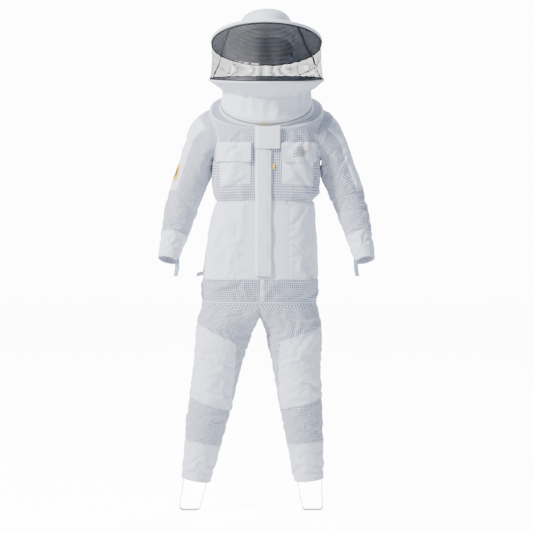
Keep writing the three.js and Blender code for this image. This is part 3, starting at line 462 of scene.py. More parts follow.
def weave_group():
    """Node group: the height of a twill weave of a given pitch, from the UV map."""
    if "weave" in bpy.data.node_groups:
        return bpy.data.node_groups["weave"]
    tree = bpy.data.node_groups.new("weave", "ShaderNodeTree")
    tree.interface.new_socket("Pitch", in_out="INPUT", socket_type="NodeSocketFloat")
    tree.interface.new_socket("Height", in_out="OUTPUT", socket_type="NodeSocketFloat")

    def add(kind, operation=None):
        node = tree.nodes.new(kind)
        if operation:
            node.operation = operation
        return node

    given, given_out = tree.nodes.new("NodeGroupInput"), tree.nodes.new("NodeGroupOutput")
    where, split = add("ShaderNodeUVMap"), add("ShaderNodeSeparateXYZ")
    tree.links.new(where.outputs["UV"], split.inputs[0])
    waves = []
    for operation in ("ADD", "SUBTRACT"):
        mixed, scaled, turned, sine = (add("ShaderNodeMath", o)
                                       for o in (operation, "DIVIDE", "MULTIPLY", "SINE"))
        tree.links.new(split.outputs["X"], mixed.inputs[0])
        tree.links.new(split.outputs["Y"], mixed.inputs[1])
        tree.links.new(mixed.outputs[0], scaled.inputs[0])
        tree.links.new(given.outputs["Pitch"], scaled.inputs[1])
        tree.links.new(scaled.outputs[0], turned.inputs[0])
        turned.inputs[1].default_value = 2 * math.pi if operation == "ADD" else 4 * math.pi
        tree.links.new(turned.outputs[0], sine.inputs[0])
        waves.append(sine)
    fine = add("ShaderNodeMath", "MULTIPLY_ADD")
    tree.links.new(waves[1].outputs[0], fine.inputs[0])
    fine.inputs[1].default_value = 0.35
    tree.links.new(waves[0].outputs[0], fine.inputs[2])
    tree.links.new(fine.outputs[0], given_out.inputs["Height"])
    return tree


def geometry_group(name, sockets):
    """An empty Geometry Nodes tree with named inputs, and its two ends."""
    tree = bpy.data.node_groups.new(name, "GeometryNodeTree")
    for socket, kind in (("Geometry", "Geometry"), *sockets, ("Material", "Material")):
        tree.interface.new_socket(socket, in_out="INPUT", socket_type="NodeSocket" + kind)
    tree.interface.new_socket("Geometry", in_out="OUTPUT", socket_type="NodeSocketGeometry")
    return tree, tree.nodes.new("NodeGroupInput"), tree.nodes.new("NodeGroupOutput")


def join(tree, *links):
    """Links the named output of one node to the named input of another."""
    for giver, output, taker, socket in links:
        tree.links.new(giver.outputs[output], taker.inputs[socket])


def perforate_group():
    """Geometry Nodes: every face of a grid becomes one mesh of a net, a hole with walls round it."""
    if "perforate" in bpy.data.node_groups:
        return bpy.data.node_groups["perforate"]
    tree, given, made = geometry_group("perforate", (("Open", "Float"), ("Deep", "Float")))
    lip, inner, wall, gone, whole, paint = (tree.nodes.new("GeometryNode" + kind) for kind in (
        "ExtrudeMesh", "ScaleElements", "ExtrudeMesh", "DeleteGeometry", "RealizeInstances", "SetMaterial"))
    gone.domain = "FACE"
    lip.inputs["Offset Scale"].default_value = 0
    lip.inputs["Individual"].default_value = True
    wall.inputs["Individual"].default_value = True
    join(tree,
         (given, "Geometry", lip, "Mesh"),
         (lip, "Mesh", inner, "Geometry"),
         (lip, "Top", inner, "Selection"),
         (given, "Open", inner, "Scale"),
         (inner, "Geometry", wall, "Mesh"),
         (lip, "Top", wall, "Selection"),
         (given, "Deep", wall, "Offset Scale"),
         (wall, "Mesh", gone, "Geometry"),
         (wall, "Top", gone, "Selection"),
         (gone, "Geometry", whole, "Geometry"),
         (whole, "Geometry", paint, "Geometry"),
         (given, "Material", paint, "Material"),
         (paint, "Geometry", made, "Geometry"))
    return tree


def run_nodes(piece, tree, **values):
    """Gives piece the mesh that a Geometry Nodes tree makes of it."""
    nodes = piece.modifiers.new(tree.name, "NODES")
    nodes.node_group = tree
    for item in tree.interface.items_tree:
        if item.in_out == "INPUT" and item.name in values:
            nodes[item.identifier] = values[item.name]
    bpy.context.view_layer.update()
    result = bpy.data.meshes.new_from_object(piece.evaluated_get(bpy.context.evaluated_depsgraph_get()))
    piece.modifiers.remove(nodes)
    piece.data = result
    return piece


def net(name, points, closed=True, flip=False, keep=None, share=0.66, deep=1.1, material=None):
    """A net from a grid of points, one hole to each square."""
    piece = cloth(name, points, material or white_net, closed, flip, keep)
    run_nodes(piece, perforate_group(), Open=share, Deep=-deep / 1000, Material=material or white_net)
    piece.data.shade_flat()
    return piece


white_net = finish("white_net", (0.65, 0.68, 0.80), 0.8, sheen=0.1)
# The spacer layer under the nets is a real layer, but its dark blue-grey is painted shade for the depths of the holes.
spacer_with_shade = finish("spacer_painted_shade", (0.21, 0.225, 0.30), 0.95, weave=2.4, depth=0.5)
cotton = finish("cotton_twill", (0.775, 0.805, 0.92), 0.85, sheen=0.15, weave=1.1, depth=0.12, stain=0.03)

skin = jacket_skin()


def panel(low, high, pitch, turns=(0, 1), base=None):
    """turn and v of a grid over part of a skin, with cells of about that pitch."""
    of = base or skin
    middle = of.at(np.linspace(*turns, 200), np.full(200, (low + high) / 2))
    girth = np.linalg.norm(np.diff(middle, axis=0), axis=1).sum()
    line = of.at(np.full(60, 0.5), np.linspace(low, high, 60))
    length = np.linalg.norm(np.diff(line, axis=0), axis=1).sum()
    columns, rows = 2 * round(girth / pitch / 2), max(2, round(length / pitch))
    closed = turns == (0, 1)
    return np.meshgrid(np.linspace(*turns, columns + (not closed), endpoint=not closed),
                       np.linspace(low, high, rows + 1))


def middle_of(grid):
    """The same values at the middle of each cell of a closed grid."""
    ahead = np.roll(grid, -1, 1)
    return (grid[:-1] + grid[1:] + ahead[:-1] + ahead[1:]) / 4


def slit(turn, v, low, high):
    """Cells that are not in the opening of the front zip."""
    here = skin.at(turn, v)
    x, z = middle_of(here[..., 0]), middle_of(here[..., 2])
    ahead = middle_of(here[..., 1]) < -60
    return ~(ahead & (abs(x) < 8.5) & (z > low) & (z < high))


# the middle height of the armhole seam, and its half width in turns and half height
ARMHOLE, ARMHOLE_TURN, ARMHOLE_HIGH = 1322, 0.078, 84


def armhole(side, around):
    """turn and v of the armhole seam of one side, at turns of the sleeve."""
    angle = np.asarray(around) * 2 * math.pi
    return 0.5 + side * (0.25 + ARMHOLE_TURN * np.cos(angle)), ARMHOLE - side * ARMHOLE_HIGH * np.sin(angle)


def in_armhole(turn, v):
    """Cells that are inside an armhole."""
    mt, mv = (turn + 0.5 / turn.shape[1])[:-1], middle_of(v)
    near = np.minimum(abs(mt - 0.25), abs(mt - 0.75))
    return ((near / ARMHOLE_TURN) ** 2 + ((mv - ARMHOLE) / ARMHOLE_HIGH) ** 2) < 0.94


turn, v = panel(WAIST, NECK, 7.0)
keep = slit(turn, v, 0, 1340) & ~in_armhole(turn, v)
chest_net = net("chest_net", skin.at(turn, v), keep=keep)
# the spacer under the net, painted dark as the shade in its holes
chest_lining = cloth("chest_lining", skin.at(turn, v, -1.7), spacer_with_shade, closed=True, keep=keep)
turn, v = panel(HIP, WAIST, 5.2)
jacket_cotton = cloth("jacket_cotton", skin.at(turn, v), cotton, closed=True, keep=slit(turn, v, 834, 1400),
                      thick=1.2)
turn, v = panel(CROTCH, HIP, 7.2)
hip_net = net("hip_net", skin.at(turn, v))
# the spacer under the net, painted dark as the shade in its holes
hip_lining = cloth("hip_lining", skin.at(turn, v, -1.7), spacer_with_shade, closed=True)
for piece in (chest_net, chest_lining, jacket_cotton, hip_net, hip_lining):
    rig.ride(piece, "torso")
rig.replaces(chest_net, "front_yoke_right", "front_yoke_left", "back_yoke")
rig.replaces(jacket_cotton, "front_lower_right", "front_lower_left", "back_lower", "waist_elastic")
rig.replaces(hip_net, "seat_right", "seat_left", "crotch_gusset")

# ---- Seams ---------------------------------------------------------------------------------------
# Panels are sewn face to face and topstitched, so that each join stands up as a flat felled ridge with
# two rows of thread beside it. The waist seam holds elastic at the back.


def tube(name, path, radius, material, body, closed=False, sides=8, flat=1.0, up=None):
    """A tube along a path. flat below 1 squashes it along up."""
    path = np.asarray(path, float)
    ahead = np.roll(path, -1, 0) - np.roll(path, 1, 0)
    if not closed:
        ahead[0], ahead[-1] = path[1] - path[0], path[-1] - path[-2]
    ahead = unit(ahead)
    up = np.broadcast_to([0.0, 0.0, 1.0] if up is None else up, path.shape)
    across = unit(np.cross(ahead, up))
    up = np.cross(across, ahead)
    angle = np.arange(sides) / sides * 2 * math.pi
    radius = np.broadcast_to(radius, len(path))[:, None, None]
    ring = path[:, None] + radius * (across[:, None] * np.cos(angle)[None, :, None] + flat * up[:, None]
                                     * np.sin(angle)[None, :, None])
    if closed:
        ring = np.concatenate([ring, ring[:1]])
    made = cloth(name, ring, material, closed=True, flip=False)
    if not closed:
        count = len(path)
        made.data.materials.clear()
        bottom, top = list(range(sides)), [(count - 1) * sides + k for k in range(sides)]
        faces = [list(p.vertices) for p in made.data.polygons] + [bottom[::-1], top]
        verts = [tuple(vert.co) for vert in made.data.vertices]
        made.data.clear_geometry()
        made.data.from_pydata(verts, [], faces)
        made.data.shade_smooth()
        made.data.materials.append(material)
    face_out(made)
    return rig.ride(made, body) if body else made


def face_out(piece):
    """Turns the faces of a closed piece outwards."""
    mesh = piece.data
    mesh.calc_loop_triangles()
    co = np.array([vert.co for vert in mesh.vertices])
    tri = np.array([t.vertices for t in mesh.loop_triangles])
    if np.einsum("ij,ij->i", co[tri[:, 0]], np.cross(co[tri[:, 1]], co[tri[:, 2]])).sum() < 0:
        mesh.flip_normals()


def sewn_group():
    """Geometry Nodes: one small block every pitch along a mesh's edges, its top along the attribute up."""
    if "sewn" in bpy.data.node_groups:
        return bpy.data.node_groups["sewn"]
    tree, given, made = geometry_group("sewn", (("Pitch", "Float"), ("Size", "Vector")))
    line, spots, block, copies, whole, paint, up = (tree.nodes.new("GeometryNode" + kind) for kind in (
        "MeshToCurve", "CurveToPoints", "MeshCube", "InstanceOnPoints", "RealizeInstances", "SetMaterial",
        "InputNamedAttribute"))
    spots.mode, up.data_type = "LENGTH", "FLOAT_VECTOR"
    up.inputs["Name"].default_value = "up"
    along, stand = (tree.nodes.new("FunctionNodeAlignRotationToVector") for _ in range(2))
    along.axis, stand.axis, stand.pivot_axis = "X", "Z", "X"
    join(tree,
         (given, "Geometry", line, "Mesh"),
         (line, "Curve", spots, "Curve"),
         (given, "Pitch", spots, "Length"),
         (spots, "Points", copies, "Points"),
         (spots, "Tangent", along, "Vector"),
         (along, "Rotation", stand, "Rotation"),
         (up, "Attribute", stand, "Vector"),
         (stand, "Rotation", copies, "Rotation"),
         (given, "Size", block, "Size"),
         (block, "Mesh", copies, "Instance"),
         (copies, "Instances", whole, "Geometry"),
         (whole, "Geometry", paint, "Geometry"),
         (given, "Material", paint, "Material"),
         (paint, "Geometry", made, "Geometry"))
    return tree


def sewn(name, lines, material, pitch=4.2, size=(2.9, 0.7, 0.5)):
    """Stitches, or zip teeth, along lines of (points, ups)."""
    verts, ups, edges, start = [], [], [], 0
    for points, up in lines:
        verts.append(points), ups.append(np.broadcast_to(up, np.shape(points)))
        edges += [(start + k, start + k + 1) for k in range(len(points) - 1)]
        start += len(points)
    mesh = bpy.data.meshes.new(name)
    mesh.from_pydata(place(np.concatenate(verts)).tolist(), edges, [])
    mesh.attributes.new("up", "FLOAT_VECTOR",
                        "POINT").data.foreach_set("vector", np.concatenate(ups).ravel().astype(np.float32))
    piece = bpy.data.objects.new(name, mesh)
    bpy.context.scene.collection.objects.link(piece)
    run_nodes(piece, sewn_group(), Pitch=pitch / 1000, Size=tuple(s / 1000 for s in size), Material=material)
    piece.data.materials.clear()
    piece.data.materials.append(material)
    return piece


def line_on(base, turns, vs, depth=0.3, count=120):
    """A line over a skin through the given turns and vs, as (points, ups)."""
    share = np.linspace(0, 1, count)
    key = np.linspace(0, 1, len(turns))
    turn, v = np.interp(share, key, turns), np.interp(share, key, vs)
    return base.at(turn, v, np.full(count, depth)), base.normal(turn, v)


thread = finish("thread", (0.80, 0.81, 0.85), 0.7)
rings = []
for name, height, radius in (("waist_seam", WAIST, 2.2), ("hip_seam", HIP, 2.0)):
    path, up = line_on(skin, (0, 1), (height, height), 0.2, 301)
    tube(name, path[:-1], radius, cotton, "torso", closed=True, flat=0.6, up=up[:-1])
    for offset in (-6, -10, 6):
        rings.append(line_on(skin, (0, 1), (height + offset, height + offset), 0.4, 301))
for side_turn in (0.252, 0.748):
    path, up = line_on(skin, (side_turn, side_turn), (745, 1236), 0.3, 90)
    tube("side_seam_" + ("right" if side_turn < 0.5 else "left"), path, 1.6, cotton, "torso", flat=0.6, up=up)
    rings.append(line_on(skin, (side_turn + 0.006,) * 2, (828, 1090), 0.4, 90))
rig.ride(sewn("body_stitches", rings, thread), "torso")

# ---- Front zip -----------------------------------------------------------------------------------
# A coarse moulded zip on woven tape closes the front from the hips to the neck flap. The tapes are sewn
# behind the edges of the opening, and the slider and its pull are metal.
zip_white = finish("zip_tape", (0.80, 0.81, 0.84), 0.8, weave=0.8, depth=0.1)
moulded = finish("moulded_teeth", (0.86, 0.86, 0.88), 0.35)
brass = finish("old_brass", (0.52, 0.39, 0.17), 0.32, metallic=1.0, stain=0.25)
for side, name in ((-1, "right"), (1, "left")):
    x, z = np.meshgrid(side * np.linspace(*((10.5, 1.2) if side < 0 else (1.2, 10.5)), 4),
                       np.linspace(832, 1338, 90))
    tape = cloth("zip_tape_" + name, skin.at(*skin.find(x, z), -0.7), zip_white, thick=0.9)
    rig.replaces(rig.ride(tape, "torso"), "front_zip_tape_" + name)
    z = np.linspace(833 + side * 0.6, 1337, 300)
    turn, v = skin.find(np.full(300, side * 0.95), z)
    teeth = sewn("zip_teeth_" + name, [(skin.at(turn, v, 0.3), skin.normal(turn, v))], moulded, 2.4,
                 (1.1, 2.4, 2.0))
    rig.ride(teeth, "torso")
for node in ("front_zip_slider", "front_zip_pull", "neck_zip_slider", "neck_zip_pull"):
    frame["nodes"][node].data.materials.clear()
    frame["nodes"][node].data.materials.append(brass)

# ---- Pockets -------------------------------------------------------------------------------------
# Patch pockets of the same twill, turned in at the edges and sewn down with two rows of thread. The chest
# pockets puff a little and each has a loose flap on a hinge seam, and a flat pocket lies under the left
# hip.


def patch(name, corners, base, high=2.0, puff=0.0, girth=1000, by_turn=False, material=None, lines=(),
          rows=(2.4, 7.2)):
    """A sewn-on patch. corners are its (x, z), or (turn, v), from the lower left, anticlockwise."""
    corners = np.asarray(corners, float)
    across, up = corners.T
    spots = base.at(across, up) if by_turn else np.stack([across, 0 * across, up], 1)
    wide, tall = np.linalg.norm(spots[1] - spots[0]) * 1.03, np.linalg.norm(spots[3] - spots[0])

    def lay(p, q, extra=0.0):
        near = np.minimum(np.minimum(p, 1 - p) * wide, np.minimum(q, 1 - q) * tall)
        mixed = [((1 - p) * (1 - q) * corners[0, k] + p * (1 - q) * corners[1, k] + p * q * corners[2, k]
                  + (1 - p) * q * corners[3, k]) for k in range(2)]
        turn, v = mixed if by_turn else base.find(mixed[0], mixed[1], girth)
        crown = np.sqrt(np.clip(4 * p * (1 - p), 0, 1))
        depth = 0.1 + high * step(near, 0, 1.6) + puff * step(near, 6, 34) * crown
        for row in rows:
            depth = depth - 0.5 * np.exp(-(((near - row) / 0.9) ** 2))
        depth = depth + folds(p, q * tall, wide, lines) * step(near, 2, 14)
        return base.at(turn, v, depth + extra), base.normal(turn, v)

    def edge(size, count):
        turned_in = np.array([0, 0.8, 1.6, 2.4, 3.4]) / size
        return np.concatenate([turned_in, np.linspace(5 / size, 1 - 5 / size, count), 1 - turned_in[::-1]])

    p, q = np.meshgrid(edge(wide, max(4, round(wide / 4.5))), edge(tall, max(4, round(tall / 4.5))))
    piece = cloth(name, lay(p, q)[0], material or cotton)
    sewing = []
    for inset in rows:
        a, b = inset / wide, inset / tall
        for p0, q0, p1, q1 in ((a, b, 1 - a, b), (1 - a, b, 1 - a, 1 - b), (1 - a, 1 - b, a, 1 - b),
                               (a, 1 - b, a, b)):
            share = np.linspace(0, 1, 60)
            sewing.append(lay(p0 + (p1 - p0) * share, q0 + (q1 - q0) * share, 0.25))
    return piece, sewn(name + "_thread", sewing, thread), lay


def loose(name, x, z, depth, base, body, thick=1.6, material=None):
    """A loose flap of cloth lying over the front, from grids of x, z and depth."""
    piece = cloth(name, base.at(*base.find(x, z), depth), material or cotton, thick=thick)
    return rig.ride(piece, body)


for side, name in ((-1, "right"), (1, "left")):
    low_x, high_x = (-160, -53) if side < 0 else (53, 160)
    tilt = -3 if side < 0 else 3
    pocket, sewing, _ = patch("chest_pocket_cloth_" + name,
                              [(low_x, 1151 - (0 if side > 0 else 6)),
                               (high_x, 1151 - (6 if side > 0 else 0)), (high_x, 1284), (low_x, 1284)],
                              skin, puff=4.5,
                              lines=[(0.2, 20, 0.75, 45, 16, 1.6), (0.8, 15, 0.45, 80, 14, -1.2),
                                     (0.15, 70, 0.5, 30, 12, 1.2)])
    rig.ride(pocket, "torso"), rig.ride(sewing, "torso")
    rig.replaces(pocket, "chest_pocket_" + name)
    flap_low = -165 if side < 0 else 51

    def flap_depth(p, q):
        wave = 1.2 * np.sin(p * 9 + side) * (1 - q)
        return 3.2 + 5.8 * step(1 - q, 0, 0.22) + wave + 0.9 * step(abs(p - 0.5), 0.42, 0.5)

    p, q = np.meshgrid(np.linspace(0, 1, 40), np.linspace(0, 1, 26))
    rounded = 9 * np.clip((0.12 - (p if side > 0 else 1 - p)) / 0.12, 0, 1) ** 2 * (1 - q)
    z = 1226 + rounded + (68 - rounded) * q + tilt * (p - 0.5) * (1 - q)
    depth = flap_depth(p, q)
    turn, v = skin.find(flap_low + 114 * p, z)
    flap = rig.ride(cloth("chest_flap_cloth_" + name, skin.at(turn, v, depth), cotton, thick=1.5),
                   "pocket_flap_" + name)
    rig.replaces(flap, "chest_flap_" + name)
    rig.sheet(flap, flat=(0.130, 0.075), held="hung", rests_on=["chest_pocket_" + name])
    sewing = []
    for inset in (2.5, 7):
        a, b = inset / 114, inset / 69
        for p0, q0, p1, q1 in ((a, 1 - b, a, b), (a, b, 1 - a, b), (1 - a, b, 1 - a, 1 - b)):
            share = np.linspace(0, 1, 50)
            pp, qq = p0 + (p1 - p0) * share, q0 + (q1 - q0) * share
            zz = 1226 + 68 * qq + 9 * (1 - qq) * np.clip((0.12 - (pp if side > 0 else 1 - pp)) / 0.12, 0,
                                                         1) ** 2 + tilt * (pp - 0.5) * (1 - qq)
            tt, vv = skin.find(flap_low + 114 * pp, zz)
            sewing.append((skin.at(tt, vv, flap_depth(pp, qq) + 0.2), skin.normal(tt, vv)))
    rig.ride(sewn("chest_flap_thread_" + name, sewing, thread), "pocket_flap_" + name)
fly, sewing, _ = patch("fly_strip_cloth", [(-22, 748), (-8, 748), (-8, 824), (-22, 824)], skin,
                       high=1.6, rows=(2.2, 6.0))
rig.replaces(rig.ride(fly, "torso"), "fly_tongue")
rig.ride(sewing, "torso")
hip_pocket, sewing, _ = patch("hip_pocket_cloth", [(82, 832), (150, 832), (150, 1068), (82, 1068)], skin,
                              high=1.5, puff=1.0)
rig.replaces(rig.ride(hip_pocket, "torso"), "hip_pocket_left")
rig.ride(sewing, "torso")

# ---- Honeycomb motif -----------------------------------------------------------------------------
# The badge embroidered on the wearer's left chest flap is replaced with a plain cluster of hexagon cells.
dark_thread = finish("dark_thread", (0.05, 0.045, 0.04), 0.6, sheen=0.3)
gold_thread = finish("gold_thread", (0.55, 0.36, 0.05), 0.5, sheen=0.3)
cells = {"dark": [], "gold": []}
for row, column in ((0, 0), (0, 1), (0, 2), (1, 0), (1, 1), (1, 2), (1, 3), (2, 1), (2, 2)):
    middle_x, middle_z = 96 + 11.6 * column + 5.8 * (row % 2), 1250 + 10 * row
    corner = np.linspace(0, 1, 49) * 2 * math.pi
    reach = 5.6 * math.cos(math.pi / 6) / np.cos((corner - math.pi / 6) % (math.pi / 3) - math.pi / 6)
    x, z = middle_x + reach * np.sin(corner), middle_z + reach * np.cos(corner)
    turn, v = skin.find(x, z)
    high = 9.4 + 1.2 * np.sin((x - 51) / 114 * 9 + 1) * (1 - (z - 1226) / 69)
    cells["gold" if (row + column) % 3 == 1
          else "dark"].append((skin.at(turn, v, high), skin.normal(turn, v)))
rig.ride(sewn("motif_dark", cells["dark"], dark_thread, 1.5, (1.9, 1.3, 0.9)), "pocket_flap_left")
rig.ride(sewn("motif_gold", cells["gold"], gold_thread, 1.5, (1.9, 1.3, 0.9)), "pocket_flap_left")

# ---- Storm placket and neck flap -----------------------------------------------------------------
# A long folded strip of twill covers the zip and is sewn along its right edge only, and a square flap
# with hook tape under it covers the top of the zip. Both lie loose, with slack diagonal folds.
x, z = np.meshgrid(np.linspace(-38, 17, 20), np.linspace(835, 1268, 110))
share = (x + 38) / 55
slack = [(0.05, z0, 0.95, z0 + rise, 12, high) for z0, rise, high in
         ((850, 70, 2.4), (900, 52, -2.2), (955, 74, 2.8), (1015, 60, -2.4), (1070, 66, 2.6),
          (1130, 70, -2.0), (1165, 72, 2.6), (1215, 46, -2.0))]


def placket_depth(share, z):
    return 1.8 + 6.6 * step(share, 0, 0.14) - 2.6 * step(share, 0.6,
                                                         1) + folds(share, z, 55, slack) * step(share, 0, 0.3)


depth = placket_depth(share, z)
placket = loose("placket_cloth", x, z, depth, skin, "placket", 1.8)
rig.replaces(placket, "storm_placket")
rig.sheet(placket, flat=(0.060, 0.440), held="hung", rests_on=["front_lower_right", "front_yoke_right"])
sewing = []
for at_x in (-34.5, -30, 13.5):
    z = np.linspace(838, 1264, 150)
    deep = placket_depth(np.full(150, (at_x + 38) / 55), z)
    turn, v = skin.find(np.full(150, at_x), z)
    sewing.append((skin.at(turn, v, deep + 0.2), skin.normal(turn, v)))
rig.ride(sewn("placket_thread", sewing, thread), "placket")


def neck_flap_depth(x, z, base):
    """How far the neck flap stands off the skin: sewn at its edge, with one slow wave in it."""
    share, up_share = (x + 38) / 84, (z - 1270) / 75
    return base + 7.6 * step(share, 0, 0.1) + 1.2 * np.sin(share * 5 + up_share * 3) * share


x, z = np.meshgrid(np.linspace(-38, 46, 28), np.linspace(1270, 1345, 26))
neck_flap = loose("neck_flap_cloth", x, z, neck_flap_depth(x, z, 2.2), skin, "neck_cover", 1.8)
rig.replaces(neck_flap, "neck_flap")
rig.sheet(neck_flap, flat=(0.092, 0.076), held="hung", rests_on=["front_yoke_right"])
sewing = []
for line in ([(-35.5, 1272.5), (43.5, 1272.5), (43.5, 1342.5), (-35.5, 1342.5), (-35.5, 1272.5)],
             [(-31, 1277.5), (39, 1277.5), (39, 1337.5)]):
    line = np.array(line, float)
    key = far_along(line)
    far = np.linspace(0, key[-1], 160)
    x, z = np.interp(far, key, line[:, 0]), np.interp(far, key, line[:, 1])
    turn, v = skin.find(x, z)
    sewing.append((skin.at(turn, v, neck_flap_depth(x, z, 2.4)), skin.normal(turn, v)))
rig.ride(sewn("neck_flap_thread", sewing, thread), "neck_cover")
yellow = finish("yellow_label", (0.85, 0.56, 0.0), 0.7, weave=0.7, depth=0.08)
x, z = np.meshgrid(np.linspace(20.5, 27, 4), np.linspace(1200, 1221, 8))
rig.replaces(loose("side_tag_cloth", x, z, 2.5 + 0.3 * (x - 20), skin, "torso", 0.7, yellow), "side_tag")
grey_metal = finish("painted_stud", (0.72, 0.73, 0.76), 0.3, metallic=0.3)
plastic = finish("black_plastic", (0.02, 0.02, 0.022), 0.4)
stud_white = finish("white_tab", (0.84, 0.85, 0.88), 0.6, weave=0.9, depth=0.1)
low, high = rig.box("hip_tab")
middle = (np.array(low) + np.array(high)) / 2 * 1000 + (0, 10, 1428)
half = (np.array(high) - np.array(low)) * 500
p, q = np.meshgrid(np.linspace(-1, 1, 12), np.linspace(-1, 1, 8))
droop = -2.2 * (1 - (p + 1) / 2) ** 2
tab = cloth("hip_tab_cloth", middle + np.stack([p * half[0], 0 * p - 0.4, q * half[2] * 0.9 + droop * 3], -1),
            stud_white, thick=1.6)
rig.replaces(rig.ride(tab, "torso"), "hip_tab")
a, share = np.meshgrid(np.arange(24) / 24, np.array([0.02, 0.35, 0.7, 0.85, 1.0, 1.0]))
high_y = np.array([2.4, 2.6, 2.2, 2.4, 1.6, 0.2])[:, None] + 0 * a
stud = cloth("hip_stud",
             middle + np.stack([-half[0] * 0.4 + 6.2 * share * np.sin(a * 2 * math.pi), -1.0 - high_y,
                                            -2.5 + 6.2 * share * np.cos(a * 2 * math.pi)], -1), grey_metal,
             closed=True, flip=True)
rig.ride(stud, "torso")

# ---- Sleeves -------------------------------------------------------------------------------------
# Net sleeves set into the armholes, with a plain twill panel down the outer arm and a twill cuff gathered
# on elastic. Each cloth bends at the shoulder and at the elbow.


def limb_skin(centres, radii, top, low, high, loop, lead, slant, hem, lines, columns, gather=0.0):
    """The skin of a sleeve or leg. v is the height of its middle line. Above top it runs into the loop."""
    centres = np.asarray(centres, float)[::-1]
    first, last = centres[1] - centres[0], centres[-1] - centres[-2]
    centres = np.concatenate([[centres[0] - first], centres, [centres[-1] + last]])

    def middle(v):
        near = np.asarray(v, float)[..., None] + np.linspace(-32, 32, 9)
        return np.stack([np.interp(near, centres[:, 0], centres[:, k]).mean(-1) for k in (1, 2)]
                        + [np.asarray(v, float)], -1)

    def round_(turn, v):
        down = unit(middle(v - 2) - middle(v + 2))
        axis = unit(np.cross(down, np.array([0, -1.0, 0])))
        ahead, radius, angle = np.cross(axis, down), curve(radii, v), turn[..., None] * 2 * math.pi
        return middle(v) + axis * radius * np.sin(angle) - ahead * radius * np.cos(angle), down

    rows = round((high - low) / 7)
    turn, v = np.meshgrid(np.arange(columns) / columns, np.linspace(low, high, rows))
    shift = slant(turn)
    points, _ = round_(turn, np.minimum(v, top) + shift * step(np.minimum(v, top), top - 170, top))
    start, down = round_(turn, top + shift)
    end = loop(turn)
    far = np.linalg.norm(end - start, axis=2, keepdims=True) * 1.1
    u = np.clip((v - top) / (high - top), 0, 1)[..., None]
    cap = ((2 * u ** 3 - 3 * u ** 2 + 1) * start + (u ** 3 - 2 * u ** 2 + u) * -down * far
           + (3 * u ** 2 - 2 * u ** 3) * end - (u ** 3 - u ** 2) * lead(turn) * far)
    points = np.where(u > 0, cap, points)
    free = step(v, low, low + 25) * (1 - step(v, high - 30, high))
    lift = folds(turn, v, 2 * math.pi * radii[1][1], lines) * free
    lift = lift + gather * np.cos(turn * 2 * math.pi * 22) * (1 - step(v, low, low + hem))
    points = points + Skin(points, low, high, 1).normal(turn, v) * lift[..., None]
    hold = 1 - 0.8 * free
    hold[[0, -1]] = 1
    return Skin(settle(points, hold, 0.04, cap=6.0, pressure=0.8), low, high, 1)


def joint_line(base, low, high):
    """The middle of a limb at two heights, in the frame."""
    return [tuple(place(base.at(np.linspace(0, 1, 24, endpoint=False), np.full(24, float(v))).mean(0)))
            for v in (low, high)]


def shell(name, base, low, high, pitch, bodies, drop=None, nodes=()):
    """Net with its spacer under it, dark with painted shade for the holes, over part of a limb, bending between two
    bodies.
    """
    turn, v = panel(low, high, pitch, base=base)
    keep = None if drop is None else ~drop(turn[:-1] + 0.5 / turn.shape[1], middle_of(v))
    made = [net(name + "_net", base.at(turn, v), keep=keep),
            cloth(name + "_lining", base.at(turn, v, -1.7), spacer_with_shade, closed=True, keep=keep)]
    for piece in made:
        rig.blend(piece, *bodies)
    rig.replaces(made[0], *nodes)
    return made


